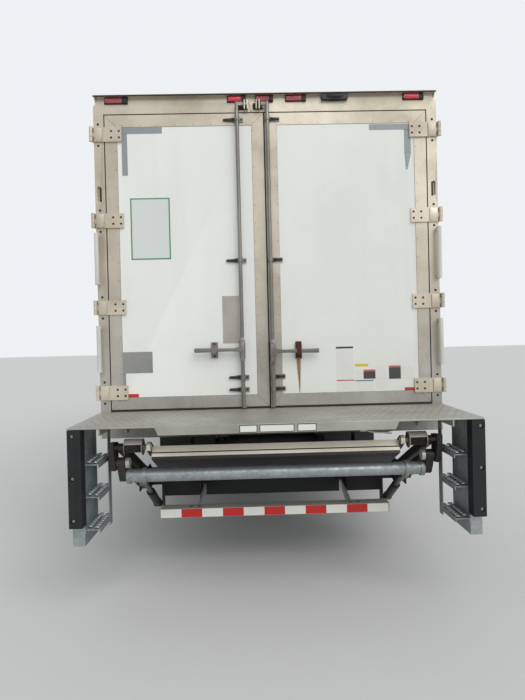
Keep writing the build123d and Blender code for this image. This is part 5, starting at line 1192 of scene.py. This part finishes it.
def pad(name, half, place, lean, channels, crown=22, pull=9):
    # A crowned cushion: half sizes, middle, lean about x, and the sewn channels across its face at +z
    bm = bmesh.new()
    bmesh.ops.create_cube(bm, size=2.0)
    bmesh.ops.subdivide_edges(bm, edges=bm.edges[:], cuts=13, use_grid_fill=True)
    turn = Matrix.Rotation(math.radians(lean), 4, "X")
    for vert in bm.verts:
        u, v, w = vert.co
        dome = (1 - u ** 4) * (1 - v ** 4)
        drawn = 30 * max(0, abs(u) - 0.6) * max(0, abs(v) - 0.6)
        sew = sum(math.exp(-((v - row) / 0.045) ** 2) for row in channels) * (1 - u ** 8)
        across = math.exp(-((abs(u) - 0.66) / 0.05) ** 2) * (1 - v ** 8)
        x = u * (half[0] - pull * (1 - v ** 2) * abs(u) - drawn)
        y = v * (half[1] - pull * (1 - u ** 2) * abs(v) - drawn)
        z = w * (half[2] - crown) + max(0, w) * (crown - 9 * max(sew, across)) * dome
        z -= w * 9 * max(abs(u), abs(v)) ** 10 * abs(w)
        vert.co = turn @ Vector((x, y, z)) + Vector(place)
    bmesh.ops.recalc_face_normals(bm, faces=bm.faces)
    for face in bm.faces:
        face.material_index = 0 if (turn.inverted().to_3x3() @ face.normal).z > 0.35 else 1
    toFrame(bm)
    piece = settle(bm, name, (seatCloth, seatSide), "chassis", 80)
    smooth = piece.modifiers.new("smooth", "SUBSURF")
    smooth.levels = smooth.render_levels = 1
    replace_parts(piece, "seats")


def welt(shape, half, place, lean, height):
    # Piping round a cushion's face
    turn = Matrix.Rotation(math.radians(lean), 4, "X")
    x, y = half[0] - 9, half[1] - 9
    loop(shape, [turn @ Vector((*point, height)) + Vector(place) for point in corners(-x, x, -y, y)], 5)


base, welts = shapes(2)
for side, word in ((-1, "driver"), (1, "passenger")):
    x = side * 480
    cushion = ((232, 205, 74), (x, 7985, 1345), 3)
    back = ((228, 240, 52), (x, 7736, 1655), 96)
    head = ((150, 98, 44), (x, 7694, 2035), 96)
    pad("seat_cushion_" + word, *cushion, (-0.45, 0.0, 0.45))
    pad("seat_back_" + word, *back, (-0.5, -0.1, 0.3))
    pad("seat_headrest_" + word, *head, (0.0,), 16, 6)
    for part, height in ((cushion, 46), (back, 24), (head, 22)):
        welt(welts, *part, height)
    base.box((x - 200, x + 200), (7770, 8150), (1052, 1275), 14, 3)
    base.box((x - 216, x + 216), (7750, 8170), (1050, 1076), 6, 2)
    base.box((x + side * 236, x + side * 244), (7760, 8120), (1180, 1290), 3)
    for shift in (-60, 60):
        base.bar((x + shift, 7712, 1880), (x + shift, 7700, 1960), 8, sides=12)
base.make("seat_bases", "dash_plastic")
welts.make("seat_piping", "seat_fabric", piping)

print("underneath: u-bolts, brake chambers, bolts, bands")
flapRear = station(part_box("mud_flaps")[0].y) + 15
uBolts, chambers, railBolts, bands, boxLatches, flapBolts = shapes(6)
# A brake chamber's outline. Columns: distance along, radius
chamberRows = (
    (0, 0), (0, 62), (14, 74), (58, 78), (60, 86), (74, 86), (76, 78), (128, 76), (150, 58), (154, 0),
)
for side in (-1, 1):
    for y in (2655, 2775):
        for x in (436, 524):
            uBolts.bar((side * x, y, 384), (side * x, y, 668), 9, sides=14)
            uBolts.bar((side * x, y, 362), (side * x, y, 386), 15, sides=6, soft=1)
        uBolts.bar((side * 436, y, 664), (side * 524, y, 664), 9, sides=14)
    uBolts.box((side * 418, side * 542), (2636, 2794), (380, 392), 3)
    start = Vector((side * 330, 2830, 566))
    chambers.turned(chamberRows, start, ahead, 40)
    chambers.bar(start - Vector((0, 92, 0)), start, 9, sides=14)
    chambers.box((side * 318, side * 342), (2716, 2746), (500, 590), 4)
    chambers.bolt(start + Vector((0, 154, 40)), ahead, 7, 10)
    for index in range(27):
        y = 560 + index * 348
        for z in (742, 914):
            railBolts.bolt((side * 432, y, z), (side, 0, 0), 8, 6)
    for index in range(4):
        flapBolts.bolt((side * (790 + index * 80), flapRear, 972), rearward, 8, 6)
for y in (7700, 8210):
    boxLatches.box((990, 1003), (y - 26, y + 26), (812, 868), 5)
for y in (6120, 6460, 6800):
    bands.turned(((0, 130), (0, 135), (22, 135), (22, 130)), (622, y, 760), ahead, 48, closed=True)
    bands.box((618, 626), (y, y + 22), (886, 912), 2)
for side in (-1, 1):
    for y in (5300, 5900):
        band = ((0, 110), (0, 114), (26, 114), (26, 110))
        bands.turned(band, (side * 275, y, 815), ahead, 44, closed=True)
uBolts.make("rear_u_bolts", "frame_paint")
chambers.make("brake_chambers", "frame_paint")
railBolts.make("rail_bolts", "frame_paint")
bands.make("tank_bands", "tank_aluminium", bright)
boxLatches.make("battery_latches", "bumper_rubber")
flapBolts.make("flap_bolts", "lift_zinc")

print("stage: camera, lights and floor")
photoView = {
    "imageWidth": 525, "focalPixels": 526, "sensorWidth": 36.0,
    "right": -0.140, "behind": 3.984, "height": 1.693,
    "yaw": 1.06, "pitch": -0.47, "roll": -1.38,
}


def buildCamera():
    yaw, pitch, roll = (math.radians(photoView[k]) for k in ("yaw", "pitch", "roll"))
    forward = Vector((math.sin(yaw) * math.cos(pitch), math.cos(yaw) * math.cos(pitch), math.sin(pitch)))
    level = Vector((math.cos(yaw), -math.sin(yaw), 0))
    lift = level.cross(forward)
    right = math.cos(roll) * level + math.sin(roll) * lift
    up = math.cos(roll) * lift - math.sin(roll) * level
    data = bpy.data.cameras.new("photoCamera")
    data.sensor_fit = "HORIZONTAL"
    data.sensor_width = photoView["sensorWidth"]
    data.lens = photoView["sensorWidth"] * photoView["focalPixels"] / photoView["imageWidth"]
    data.clip_end = 400
    camera = placed("photoCamera", data)
    place = (photoView["right"], rearFace - photoView["behind"], photoView["height"])
    camera.matrix_world = Matrix.Translation(place) @ Matrix((right, up, -forward)).transposed().to_4x4()
    bpy.context.scene.camera = camera


lighting = {
    "skyStrength": 0.72, "skyColor": (0.93, 0.96, 1.0), "backdrop": (0.86, 0.88, 0.90),
    "sunStrength": 1.5, "sunAngle": 50, "sunTilt": 48, "sunTurn": 28, "floorHalf": 150,
    "floorColor": (0.60, 0.60, 0.58),
}


def buildLights():
    world = bpy.data.worlds.new("studio")
    bpy.context.scene.world = world
    world.use_nodes = True
    tree = world.node_tree
    start = Wire(tree, None)
    inputs = {0: start.make("LightPath", out="Is Camera Ray")}
    layers = ((1, lighting["skyColor"], lighting["skyStrength"]), (2, lighting["backdrop"], 1.0))
    for slot, color, strength in layers:
        inputs[slot] = start.make("Background", {}, {0: (*color, 1), 1: strength})
    mix = start.make("MixShader", {}, inputs)
    tree.links.new(mix.socket, tree.nodes["World Output"].inputs["Surface"])
    sun = bpy.data.lights.new("softSun", "SUN")
    sun.energy = lighting["sunStrength"]
    sun.angle = math.radians(lighting["sunAngle"])
    lamp = placed("softSun", sun)
    lamp.rotation_euler = (math.radians(lighting["sunTilt"]), 0, math.radians(lighting["sunTurn"]))


def buildFloor():
    bm = bmesh.new()
    bmesh.ops.create_grid(bm, x_segments=1, y_segments=1, size=lighting["floorHalf"])
    mesh = bpy.data.meshes.new("floor")
    bm.to_mesh(mesh)
    bm.free()
    floor = placed("floor", mesh)
    f = Finish("floorFinish", Roughness=0.9)
    f.feed(Base_Color=f.blend(f.noise(2.0, 6.0) * 0.25, lighting["floorColor"], (0.52, 0.52, 0.5)))
    mesh.materials.append(f.material)


buildCamera()
buildLights()
buildFloor()
bpy.context.scene.view_settings.view_transform = "Standard"
